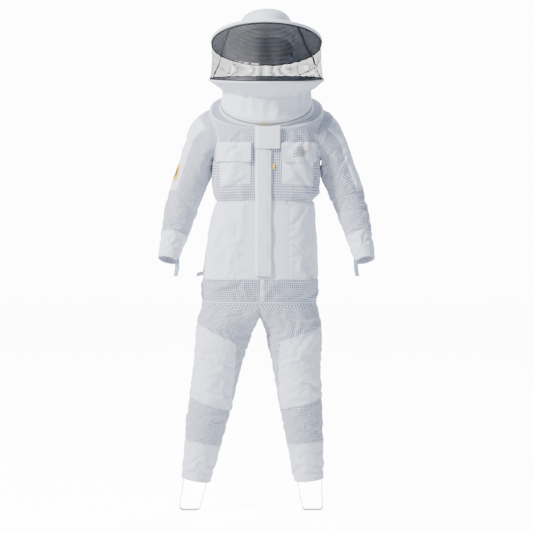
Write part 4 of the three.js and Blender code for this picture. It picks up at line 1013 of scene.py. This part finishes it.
sleeves = {}
badge_dark = finish("badge_dark", (0.03, 0.03, 0.03), 0.7)
pale_blue = finish("pale_elastic", (0.40, 0.50, 0.66), 0.75, weave=1.6, depth=0.3)
print_blue = finish("dark_blue_print", (0.035, 0.05, 0.10), 0.7)
for side, name in ((-1, "right"), (1, "left")):
    lines = crumple(18, (0, 1), (1040, 1130), (40, 90), (-35, 35), (7, 12), (-3.4, 4.4))
    lines += crumple(24, (0, 1), (1130, 1280), (60, 150), (55, 125), (8, 14), (-3.4, 4.6))
    lines += crumple(14, (0, 1), (910, 1030), (30, 80), (30, 110), (7, 11), (-2.4, 3.2))
    sleeve = limb_skin([(1344, side * 195, 5), (1072, side * 297, -5), (889, side * 340, -90)],
                       [(889, 33.5), (912, 38), (971, 46), (1072, 56), (1194, 60), (1344, 65)], 1262, 889,
                       1400,
                       lambda turn: skin.at(*armhole(side, turn)),
                       lambda turn: np.broadcast_to(unit([side * 1.0, 0, -0.35]), (*turn.shape, 3)),
                       lambda turn: -12.5 - side * 37.5 * np.sin(turn * 2 * math.pi), 26, lines, 60, 1.5)
    sleeves[name] = sleeve
    shoulder = ("torso", "upper_arm_" + name, tuple(place((side * 186, 5, 1344))),
                tuple(place((side * 224, 5, 1344))))
    bend = joint_line(sleeve, 1108, 1030)
    elbow = ("upper_arm_" + name, "forearm_" + name, *bend)
    outer = 0.5 + side * 0.215
    shell("sleeve_upper_" + name, sleeve, 1118, 1400, 6.6, shoulder, lambda t,
          v: (abs(t - outer) < 0.1) & (v > 1125) & (v < 1345),
          nodes=["upper_sleeve_" + name])
    shell("sleeve_lower_" + name, sleeve, 968, 1118, 6.4, elbow, nodes=["forearm_sleeve_" + name])
    turn, v = panel(889, 970, 4, base=sleeve)
    cuff = cloth("cuff_cloth_" + name, sleeve.at(turn, v, 0.5), cotton, closed=True, thick=1.3)
    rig.replaces(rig.ride(cuff, "forearm_" + name), "cuff_" + name)
    sewing = [line_on(sleeve, (0, 1), (v0, v0), 0.8, 100) for v0 in (893, 905, 965)]
    for v0, width in ((970, 1.6), (1118, 1.5)):
        path, up = line_on(sleeve, (0, 1), (v0, v0), 0.3, 97)
        seam = tube("sleeve_seam_%d_%s" % (v0, name), path[:-1], width, cotton, None, closed=True, flat=0.6,
                    up=up[:-1])
        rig.ride(seam, "forearm_" + name if v0 < 1000 else "upper_arm_" + name)
    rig.ride(sewn("cuff_thread_" + name, sewing, thread), "forearm_" + name)
    path, up = line_on(sleeve, (0, 1), (1399, 1399), 0.4, 97)
    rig.blend(tube("armhole_seam_" + name, path[:-1], 2.4, cotton, None, closed=True, flat=0.7, up=up[:-1]),
             *shoulder)
    over, sewing, lay = patch("arm_panel_cloth_" + name, [(outer - 0.12, 1111), (outer + 0.12, 1111),
                                                          (outer + 0.11, 1358), (outer - 0.11, 1358)],
                              sleeve, high=1.4, by_turn=True,
                              lines=[(0.2, 60, 0.8, 90, 12, 1.6), (0.1, 150, 0.7, 120, 12, 1.4),
                                     (0.3, 30, 0.9, 20, 10, 1.2)])
    for piece in (over, sewing):
        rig.blend(piece, *shoulder)
    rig.replaces(over, "sleeve_panel_" + name)
    if name == "right":
        p, q = np.meshgrid(np.linspace(0.34, 0.8, 14), np.linspace(0.12, 0.3, 18))
        badge = cloth("sleeve_badge_cloth", lay(p, q, 0.8)[0], yellow, thick=0.8)
        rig.replaces(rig.ride(badge, "upper_arm_right"), "sleeve_badge")
        corner = np.linspace(0, 1, 37) * 2 * math.pi
        hexes = [lay(0.57 + 0.13 * k * np.sin(corner), 0.21 + 0.055 * k * np.cos(corner), 1.2)
                 for k in (0.35, 0.75, 1.1)]
        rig.ride(sewn("badge_motif", hexes, badge_dark, 1.6, (2.2, 2.4, 0.7)), "upper_arm_right")
    hem = sleeve.at(np.linspace(0, 1, 24, endpoint=False), np.full(24, 890.0)).mean(0)
    inner = sleeve.at(np.array([0.5 - side * 0.25]), np.array([893.0]))[0]
    share = np.linspace(0, 1, 40)
    loop_path = np.stack([inner[0] + side * (1 - np.cos(share * 2 * math.pi)) * 3.0 + 0 * share,
                          inner[1] - 8.5 * np.cos(share * math.pi) - 3,
                          893 - 58 * np.sin(share * math.pi) ** 0.75], 1)
    across = np.linspace(-7.5, 7.5, 6)
    band = loop_path[:, None] + across[None, :, None] * np.array([0.94, 0.34 * side, 0.0])
    thumb = cloth("thumb_loop_cloth_" + name, band, pale_blue, thick=1.6)
    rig.replaces(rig.ride(thumb, "forearm_" + name), "thumb_loop_" + name)
    out = unit(np.cross(np.gradient(loop_path, axis=0), (0.94, 0.34 * side, 0.0)))
    prints = [(loop_path + k * 3.2 * np.array([0.94, 0.34 * side, 0.0]) + flip * 0.9 * out, flip * out)
              for k in (-1, 1) for flip in (-1, 1)]
    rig.ride(sewn("thumb_loop_print_" + name, prints, print_blue, 4.6, (2.4, 2.0, 0.4)), "forearm_" + name)

# ---- Legs ----------------------------------------------------------------------------------------
# Net trouser legs with large twill patches sewn over the knees and plain twill from the calf down. They
# meet at the crotch seam, and an elastic strap under each foot holds the hem down.
split_front = float(skin.find(np.array([-23.5]), np.array([CROTCH]))[0][0])
near = np.linspace(-0.08, 0.08, 200)
split_back = float(np.interp(23.5, -skin.at(near, np.full(200, CROTCH))[:, 0], near))
legs = {"right": (-1, [(715, -133, -5), (504, -175, -5), (112, -249, -5)]),
        "left": (1, [(715, 86, -5), (504, 107, -5), (112, 150, -5)])}
for name, (side, centres) in legs.items():
    def leg_loop(turn):
        outside = (turn <= 0.5) if side < 0 else (turn >= 0.5)
        share = np.where(outside, turn * 2 if side < 0 else turn * 2 - 1, 0.5)
        if side < 0:
            ring = split_back + (split_front - split_back) * share
        else:
            ring = split_front + (1 + split_back - split_front) * share
        angle = turn * 2 * math.pi
        front, back = skin.at(np.array([split_front, split_back]), np.array([CROTCH, CROTCH]))
        crotch = np.stack([np.full(turn.shape, -23.5),
                           (front[1] + back[1]) / 2 + (back[1] - front[1]) / 2 * np.cos(angle),
                           CROTCH - 59 * np.abs(np.sin(angle))], -1)
        return np.where(outside[..., None], skin.at(ring, np.full(turn.shape, CROTCH)), crotch)

    lines = crumple(24, (0, 1), (520, 690), (60, 160), (20, 110), (10, 18), (-3.2, 4.4))
    lines += crumple(24, (0, 1), (250, 500), (50, 140), (-50, 70), (10, 17), (-3.2, 4.2))
    lines += crumple(18, (0, 1), (135, 245), (50, 120), (-40, 40), (9, 15), (-4.0, 4.6))
    leg = limb_skin(centres, [(112, 52), (249, 64), (398, 76), (504, 82), (599, 92), (715, 103)], 640, 112,
                    CROTCH, leg_loop,
                    lambda turn: unit(np.stack([side * 0.5 * (1 + side * np.sin(turn * 2 * math.pi)) / 2,
                                                0 * turn, -1 + 0 * turn], -1)),
                    lambda turn: -2.5 - side * 12.5 * np.sin(turn * 2 * math.pi), 10, lines, 84)
    hip = ("torso", "thigh_body_" + name, tuple(place((0, 0, 702))), tuple(place((0, 0, 622))))
    knee = ("thigh_body_" + name, "calf_" + name, *joint_line(leg, 545, 465))
    outer = 0.5 + side * 0.21
    inner_top, inner_low = 0.5 - side * 0.09, 0.5 - side * 0.21
    corners = [(outer, 396), (inner_low, 370), (inner_top, 619), (outer, 640)]
    if side > 0:
        corners = [corners[1], corners[0], corners[3], corners[2]]

    def under(t, v):
        share = np.clip((v - 370) / 250, 0, 1)
        inside = inner_low + (inner_top - inner_low) * share
        lower, upper = np.minimum(outer, inside) + 0.03, np.maximum(outer, inside) - 0.03
        return (t > lower) & (t < upper) & (v > 412) & (v < 606)

    shell("leg_upper_" + name, leg, 588, CROTCH, 7.3, hip, nodes=["thigh_" + name])
    shell("leg_lower_" + name, leg, 245, 588, 7.3, knee, under, nodes=["lower_leg_" + name])
    knee_cloth, sewing, _ = patch("knee_patch_cloth_" + name, corners, leg, high=2.2, puff=2.0,
                                  by_turn=True,
                                  lines=[(0.1, 60, 0.8, 95, 18, 2.4), (0.9, 40, 0.3, 110, 16, -1.6),
                                         (0.2, 170, 0.8, 140, 18, 2.2), (0.6, 220, 0.3, 190, 14, 1.4)])
    for piece in (knee_cloth, sewing):
        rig.blend(piece, *knee)
    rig.replaces(knee_cloth, "knee_pocket_" + name)
    turn, v = panel(112, 247, 4.6, base=leg)
    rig.ride(cloth("ankle_cloth_" + name, leg.at(turn, v, 0.5), cotton, closed=True, thick=1.2),
                    "calf_" + name)
    sewing = [line_on(leg, (0, 1), (v0, v0), 0.8, 110) for v0 in (118, 128, 241)]
    for v0, width in ((113, 1.8), (246, 1.9)):
        path, up = line_on(leg, (0, 1), (v0, v0), 0.3, 121)
        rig.ride(tube("leg_seam_%d_%s" % (v0, name), path[:-1], width, cotton, None, closed=True, flat=0.7,
                     up=up[:-1]), "calf_" + name)
    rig.ride(sewn("ankle_thread_" + name, sewing, thread), "calf_" + name)
    for turn_at, label in ((0.5 + side * 0.25, "outer"), (0.5 - side * 0.25, "inner")):
        for low_v, high_v, bodies in ((590, 738 if label == "outer" else 700, hip), (247, 588, knee)):
            path, up = line_on(leg, (turn_at, turn_at), (low_v, high_v), 0.3, 60)
            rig.blend(tube("leg_side_seam_%s_%d_%s" % (label, low_v, name), path, 1.5, cotton, None, flat=0.6,
                          up=up), *bodies)
    around = np.linspace(0, 1, 121)[:-1]
    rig.blend(tube("leg_top_seam_" + name, leg_loop(around), 1.9, cotton, None, closed=True), *hip)
    sole_x = centres[2][1] + (centres[2][1] - centres[1][1]) / 392 * 112
    x0, shift = centres[2][1], sole_x - centres[2][1]
    path = np.array([(x0 - 44, 121), (x0 + shift * 0.5 - 40, 62), (sole_x - 36.5, 16), (sole_x - 34, 6),
                     (sole_x - 26, 1.4), (sole_x, 1.2),
                     (sole_x + 26, 1.4), (sole_x + 34, 6), (sole_x + 36.5, 16), (x0 + shift * 0.5 + 40, 62),
                     (x0 + 44, 121)])
    key = far_along(path)
    far = np.linspace(0, key[-1], 70)
    x, z = curve(np.column_stack([key, path]), far).T
    y = np.linspace(-15, 5, 7)
    strap = np.stack([np.broadcast_to(x[:, None], (70, 7)), np.broadcast_to(y[None], (70, 7)),
                      np.broadcast_to(z[:, None], (70, 7))], -1)
    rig.replaces(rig.ride(cloth("foot_strap_cloth_" + name, strap, pale_blue, thick=1.8), "calf_" + name),
                "foot_strap_" + name)
    edges = [(strap[:, k] + (0, (k - 3) * 0.4, 0), np.broadcast_to((0, (k - 3) / 3.0, 0), (70, 3)))
             for k in (0, 6)]
    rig.ride(sewn("foot_strap_edge_" + name, edges, print_blue, 5.0, (3.2, 2.2, 0.5)), "calf_" + name)

# ---- Neck zip ------------------------------------------------------------------------------------
# A round zip, lower at the front, joins the hood to the jacket. One tape belongs to each.


def ring_point(angle, radius, lift, centre=(0, 10, 1428), tilt=28.0, deep=1.0):
    """A point of a tilted ring, angle 0 at the back and a quarter turn at the wearer's right."""
    a, t = np.asarray(angle) * 2 * math.pi, np.radians(tilt)
    flat_x, flat_y = -np.asarray(radius) * np.sin(a), np.asarray(radius) * deep * np.cos(a)
    return np.stack([centre[0] + flat_x, centre[1] + flat_y * np.cos(t) - lift * np.sin(t),
                     centre[2] + flat_y * np.sin(t) + lift * np.cos(t)], -1)


grey_teeth = finish("grey_teeth", (0.22, 0.23, 0.27), 0.4)
for name, low_lift, high_lift, body in (("lower", -10.5, -0.6, "torso"), ("upper", 0.6, 10.5, "hood")):
    a, lift = np.meshgrid(np.linspace(0, 1, 181)[:-1], np.linspace(low_lift, high_lift, 5))
    tape = cloth("neck_tape_" + name, ring_point(a, 157.4, lift), zip_white, closed=True, thick=1.0)
    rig.replaces(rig.ride(tape, body), "neck_zip_" + name)
    a = np.linspace(0, 1, 500) + (0.0012 if name == "upper" else 0)
    out = unit(ring_point(a, 160, 0) - ring_point(a, 100, 0))
    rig.ride(sewn("neck_teeth_" + name, [(ring_point(a, 158.2, -1.0 if name == "lower" else 1.0), out)],
                 grey_teeth, 2.4, (1.1, 2.3, 2.0)), body)

# ---- Hood ----------------------------------------------------------------------------------------
# A twill skirt flares from the neck zip to a sprung hoop, and fine black net hangs between the hoop and
# the brim of a round hat. Black tape strips stiffen the net, and the hat has a soft band and a chin
# elastic.
HOOP = ((0, 0, 1512), 6.6)  # the centre and tilt of the sprung hoop
HAT = ((0, 0, 1641.5), -17)  # and of the ring that the brim and crown stand on
# share of the way up, y, z, radius, tilt, lift
SKIRT = [(0, 10, 1428, 158.25, 28, 9.95), (0.3, 8, 1456, 153, 22, 0), (0.5, 5, 1476, 151, 14, 0),
         (0.72, 2, 1492, 172, 9, 0), (1, 0, 1512, 199, 6.6, -3.8)]


def skirt_point(a, share):
    y, z, radius, tilt, lift = np.moveaxis(curve(SKIRT, share), -1, 0)
    return ring_point(a, radius, lift, (0, y, z), tilt)


rows, columns = 34, 180
a, share = np.meshgrid(np.arange(columns) / columns, np.linspace(0, 1, rows))
points = skirt_point(a, share)
pleats = sum(h * np.cos((a * n + o) * 2 * math.pi) for n, o,
             h in ((9, 0.1, 1.6), (14, 0.4, 1.5), (23, 0.7, 1.2)))
lines = crumple(26, (0, 1), (10, 90), (40, 90), (50, 130), (8, 15), (-2.5, 4.0))
lift = (pleats + folds(a, share * 110, 1000, lines)) * np.sin(share * math.pi) ** 0.7
free = np.sin(share * math.pi) ** 0.6
hold = 1 - 0.8 * free
hold[[0, -1]] = 1
bare = Skin(points, 0, 1, 1)
hood_skin = Skin(settle(points + bare.normal(a, share) * lift[..., None], hold, 0.03, cap=7.0), 0, 1, 1)
turn, v = np.meshgrid(np.arange(240) / 240, np.linspace(0, 1, 40))
skirt = cloth("hood_skirt_cloth", hood_skin.at(turn, v), cotton, closed=True, thick=1.2)
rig.replaces(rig.ride(skirt, "hood"), "hood_skirt")
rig.sheet(skirt, flat=(1.15, 0.12), held="gathered", rests_on=["neck_zip_upper", "hood_hoop"], area=0.1075)
sewing = [line_on(hood_skin, (0, 1), (v0, v0), 0.3, 260) for v0 in (0.03, 0.09, 0.94)]
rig.ride(sewn("skirt_thread", sewing, thread), "hood")
around = np.arange(200) / 200
piping = tube("hoop_piping", ring_point(around, 199, 0, *HOOP), 3.6, cotton, "hood", closed=True, sides=10)
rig.replaces(piping, "hood_hoop")
webbing = finish("black_tape", (0.018, 0.018, 0.02), 0.75, weave=1.2, depth=0.15)
veil_black = finish("veil_net", (0.012, 0.012, 0.014), 0.6)
tube("veil_lower_binding", ring_point(around, 198, 4.6, *HOOP), 2.6, webbing, "hood", closed=True)
tube("veil_upper_binding", ring_point(around, 190.5, -8.5, *HAT), 2.6, webbing, "hood", closed=True)


def veil_point(a, share, out=0.0):
    low_ring = ring_point(a, 198 + out, 4.0, *HOOP)
    high_ring = ring_point(a, 190.5 + out, -8.0, *HAT)
    waves = 2.4 * np.sin(a * 2 * math.pi * 11 + 1) + 1.8 * np.sin(a * 2 * math.pi * 17)
    belly = (np.sin(share * math.pi) * (-5 + waves))[..., None] * unit(ring_point(a, 10, 0, (0, 0, 0), 0))
    return low_ring + (high_ring - low_ring) * np.asarray(share)[..., None] + belly


a, share = np.meshgrid(np.arange(360) / 360, np.linspace(0, 1, 46))
veil = net("veil_mesh", veil_point(a, share), share=0.58, deep=0.0, material=veil_black)
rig.replaces(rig.ride(veil, "hood"), "veil_net")
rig.sheet(veil, flat=(1.25, 0.14), held="stretched", rests_on=["hat_brim", "hood_hoop"], area=0.0945)
for name, top_turn, low_turn in (("front_right", 0.385, 0.31), ("rear_right", 0.3, 0.07),
                                 ("front_left", 0.59, 0.7), ("rear_left", 0.7, 0.93)):
    share, across = np.meshgrid(np.linspace(0, 1, 40), np.linspace(-0.0042, 0.0042, 4), indexing="ij")
    strip = cloth("veil_tape_" + name, veil_point(low_turn + (top_turn - low_turn) * share + across, share,
                                                  1.4), webbing, flip=True, thick=0.9)
    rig.replaces(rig.ride(strip, "hood"), "veil_strip_" + name)

# ---- Hat -----------------------------------------------------------------------------------------
# A round sun hat of the same twill over a stiff brim, bound at the edge, with rows of stitching round the
# brim.
a, share = np.meshgrid(np.arange(160) / 160, np.linspace(0, 1, 16))


def brim_point(a, share, lift=0.0):
    oval = 97.3 + (112.3 - 97.3) * np.cos(np.asarray(a) * 2 * math.pi) ** 2
    radius = oval + (190 - oval) * share
    return ring_point(a, radius,
                      8 * (1 - share) + lift + 1.6 * np.sin(a * 2 * math.pi * 3 + 0.7) * share ** 2, *HAT)


brim = cloth("brim_cloth", brim_point(a, share, 1.6), cotton, closed=True, flip=True, thick=3.2)
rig.replaces(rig.ride(brim, "hood"), "hat_brim")
binding = tube("brim_binding", brim_point(around, np.ones(200), 0), 4.6, cotton, "hood", closed=True,
               sides=12, flat=1.4,
               up=np.broadcast_to((0, math.sin(math.radians(17)), math.cos(math.radians(17))), (200, 3)))
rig.replaces(binding, "brim_hoop")
out_up = np.array([0, math.sin(math.radians(17)), math.cos(math.radians(17))])
sewing = [(brim_point(np.linspace(0, 1, 260), np.full(260, s0), 1.9), np.broadcast_to(out_up, (260, 3)))
          for s0 in (0.06, 0.2, 0.34, 0.48, 0.62, 0.76, 0.9, 0.96)]
sewing += [(brim_point(np.linspace(0, 1, 260), np.full(260, s0), -1.9), np.broadcast_to(-out_up, (260, 3)))
           for s0 in (0.2, 0.34, 0.48, 0.62, 0.76, 0.9)]
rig.ride(sewn("brim_thread", sewing, thread), "hood")
CROWN = [(0, 99.5, 8.3), (0.36, 95, 48.3), (0.6, 87, 74.3), (0.78, 73, 88.3), (0.93, 40, 94.8),
         (1, 0.5, 95.3)]
a, share = np.meshgrid(np.arange(120) / 120, np.linspace(0, 1, 40))


def crown_point(a, share, out=0.0):
    radius, high = np.moveaxis(curve(CROWN, share), -1, 0)
    dents = 1.8 * np.sin(a * 2 * math.pi * 4 + 1) * np.sin(share * math.pi)
    oval = 1 + 0.155 * np.cos(np.asarray(a) * 2 * math.pi) ** 2
    return ring_point(a, (radius + out + dents) * oval, high, *HAT)


crown = cloth("crown_cloth", crown_point(a, share), cotton, closed=True, thick=1.6)
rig.replaces(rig.ride(crown, "hood"), "hat_crown")
for s0 in (0.03, 0.72):
    path = crown_point(np.arange(150) / 150, np.full(150, s0), 0.6)
    tube("crown_seam_%d" % round(s0 * 100), path, 1.7, cotton, "hood", closed=True)
towel = finish("terry_band", (0.86, 0.87, 0.90), 0.95, sheen=0.4, weave=2.2, depth=0.7)
a, lift = np.meshgrid(np.arange(120) / 120, np.linspace(-24, 12, 8))
bulge = 1.8 * np.sin((lift + 24) / 36 * math.pi)
band = cloth("headband_cloth", ring_point(a, (94.5 + bulge) * (1 + 0.155 * np.cos(a * 2 * math.pi) ** 2),
                                          lift, *HAT), towel, closed=True, thick=3)
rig.replaces(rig.ride(band, "hood"), "headband")

# ---- Chin elastic --------------------------------------------------------------------------------
# A thin white elastic from ear to ear under the chin, with a small black clip that slides on it.
t = math.radians(-17)
ahead, upward = np.array([0, math.cos(t), math.sin(t)]), np.array([0, -math.sin(t), math.cos(t)])
origin = np.array([0, 0, 1641.5]) + -12 * ahead + -24 * upward
t = math.radians(-17 + 13)
side_path = [(91.2, 10), (87, -20), (82, -70), (50, -120), (0, -128)]
path = np.array(side_path + [(-x, z) for x, z in side_path[-2::-1]], float)
key = far_along(path)
x, z = curve(np.column_stack([key, path]), np.linspace(0, key[-1], 90)).T
line = origin + x[:, None] * np.array([1.0, 0, 0]) + z[:, None] * np.array([0, -math.sin(t), math.cos(t)])
across = np.linspace(-3.6, 3.6, 4)[None, :, None] * np.array([0, math.cos(t), math.sin(t)])
elastic = finish("white_elastic", (0.82, 0.83, 0.86), 0.75, weave=1.2, depth=0.2)
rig.replaces(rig.ride(cloth("chin_elastic_cloth", line[:, None] + across, elastic, thick=1.4), "chin_strap"),
            "chin_elastic")
frame["nodes"]["chin_toggle"].data.materials.clear()
frame["nodes"]["chin_toggle"].data.materials.append(plastic)

# ---- Stage ---------------------------------------------------------------------------------------
# A plain white sweep under soft studio light, seen by a long lens from a little above the waist.
floor_mesh = bpy.data.meshes.new("floor")
floor_mesh.from_pydata([(-9, -9, -1.43), (9, -9, -1.43), (9, 9, -1.43), (-9, 9, -1.43)], [], [(0, 1, 2, 3)])
floor = bpy.data.objects.new("floor", floor_mesh)
bpy.context.scene.collection.objects.link(floor)
paper = finish("floor_white", (0.95, 0.95, 0.96), 0.9)
paper_nodes = paper.node_tree
seen = paper_nodes.nodes.new("ShaderNodeLightPath")
paper_nodes.nodes["Principled BSDF"].inputs["Emission Color"].default_value = (1, 1, 1, 1)
dim = paper_nodes.nodes.new("ShaderNodeMath")
dim.operation = "MULTIPLY"
dim.inputs[1].default_value = 12
paper_nodes.links.new(seen.outputs["Is Camera Ray"], dim.inputs[0])
paper_nodes.links.new(dim.outputs[0], paper_nodes.nodes["Principled BSDF"].inputs["Emission Strength"])
floor_mesh.materials.append(paper)
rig.stage(floor)
world = bpy.data.worlds.new("studio")
bpy.context.scene.world = world
world.use_nodes = True
sky = world.node_tree
seen, bright = sky.nodes.new("ShaderNodeLightPath"), sky.nodes.new("ShaderNodeMapRange")
bright.inputs["To Min"].default_value, bright.inputs["To Max"].default_value = 0.24, 13
tone = sky.nodes.new("ShaderNodeMix")
tone.data_type = "RGBA"
tone.inputs["A"].default_value, tone.inputs["B"].default_value = (0.55, 0.72, 1.0, 1), (1, 1, 1, 1)
sky.links.new(seen.outputs["Is Camera Ray"], tone.inputs["Factor"])
sky.links.new(tone.outputs["Result"], sky.nodes["Background"].inputs["Color"])
sky.links.new(seen.outputs["Is Camera Ray"], bright.inputs["Value"])
sky.links.new(bright.outputs["Result"], sky.nodes["Background"].inputs["Strength"])
for name, spot, power, size, tone in (("key", (-3.4, -2.2, 2.6), 760, 0.9, (1, 0.985, 0.96)),
                                      ("fill", (3.2, -3.4, 0.2), 80, 2.0, (0.80, 0.88, 1)),
                                      ("rim", (1.6, 2.4, 2.2), 170, 1.4, (1, 1, 1))):
    lamp = bpy.data.lights.new(name, "AREA")
    lamp.energy, lamp.size, lamp.color = power, size, tone
    light = bpy.data.objects.new(name, lamp)
    bpy.context.scene.collection.objects.link(light)
    light.location = spot
    light.rotation_euler = (-light.location).to_track_quat("-Z", "Y").to_euler()
view = bpy.data.cameras.new("camera")
view.lens, view.sensor_width = 96.5, 36
camera = bpy.data.objects.new("camera", view)
bpy.context.scene.collection.objects.link(camera)
camera.location = (0, -5.01, 1.15 - 1.428)
camera.rotation_euler = (Vector((0, -0.01, 0.862 - 1.428))
                         - camera.location).to_track_quat("-Z", "Y").to_euler()
bpy.context.scene.camera = camera

# ---- Slots ---------------------------------------------------------------------------------------
# Each piece belongs to the record's slot for the finish it wears, so that a scene can repaint the cloth
# or the metal.
SLOTS = {
    "net": ("white_net", "spacer_painted_shade"),
    "cotton": ("cotton_twill", "thread", "dark_thread", "terry_band"),
    "yellow": ("yellow_label", "gold_thread", "badge_dark"),
    "tape": ("zip_tape", "moulded_teeth", "grey_teeth"),
    "elastic": ("pale_elastic", "white_elastic", "dark_blue_print"),
    "webbing": ("black_tape", "black_plastic"),
    "snap": ("painted_stud", "white_tab"),
    "brass": ("old_brass",),
    "veil": ("veil_net",),
}
slot_of = {finish_name: slot for slot, names in SLOTS.items() for finish_name in names}
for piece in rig.pieces():
    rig.slot(piece, slot_of[piece.data.materials[0].name])
low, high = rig.bounds()
json.dump({"cad": [list(cad_low), list(cad_high)], "shown": [list(low), list(high)]},
          open("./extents.json", "w"), indent=1)
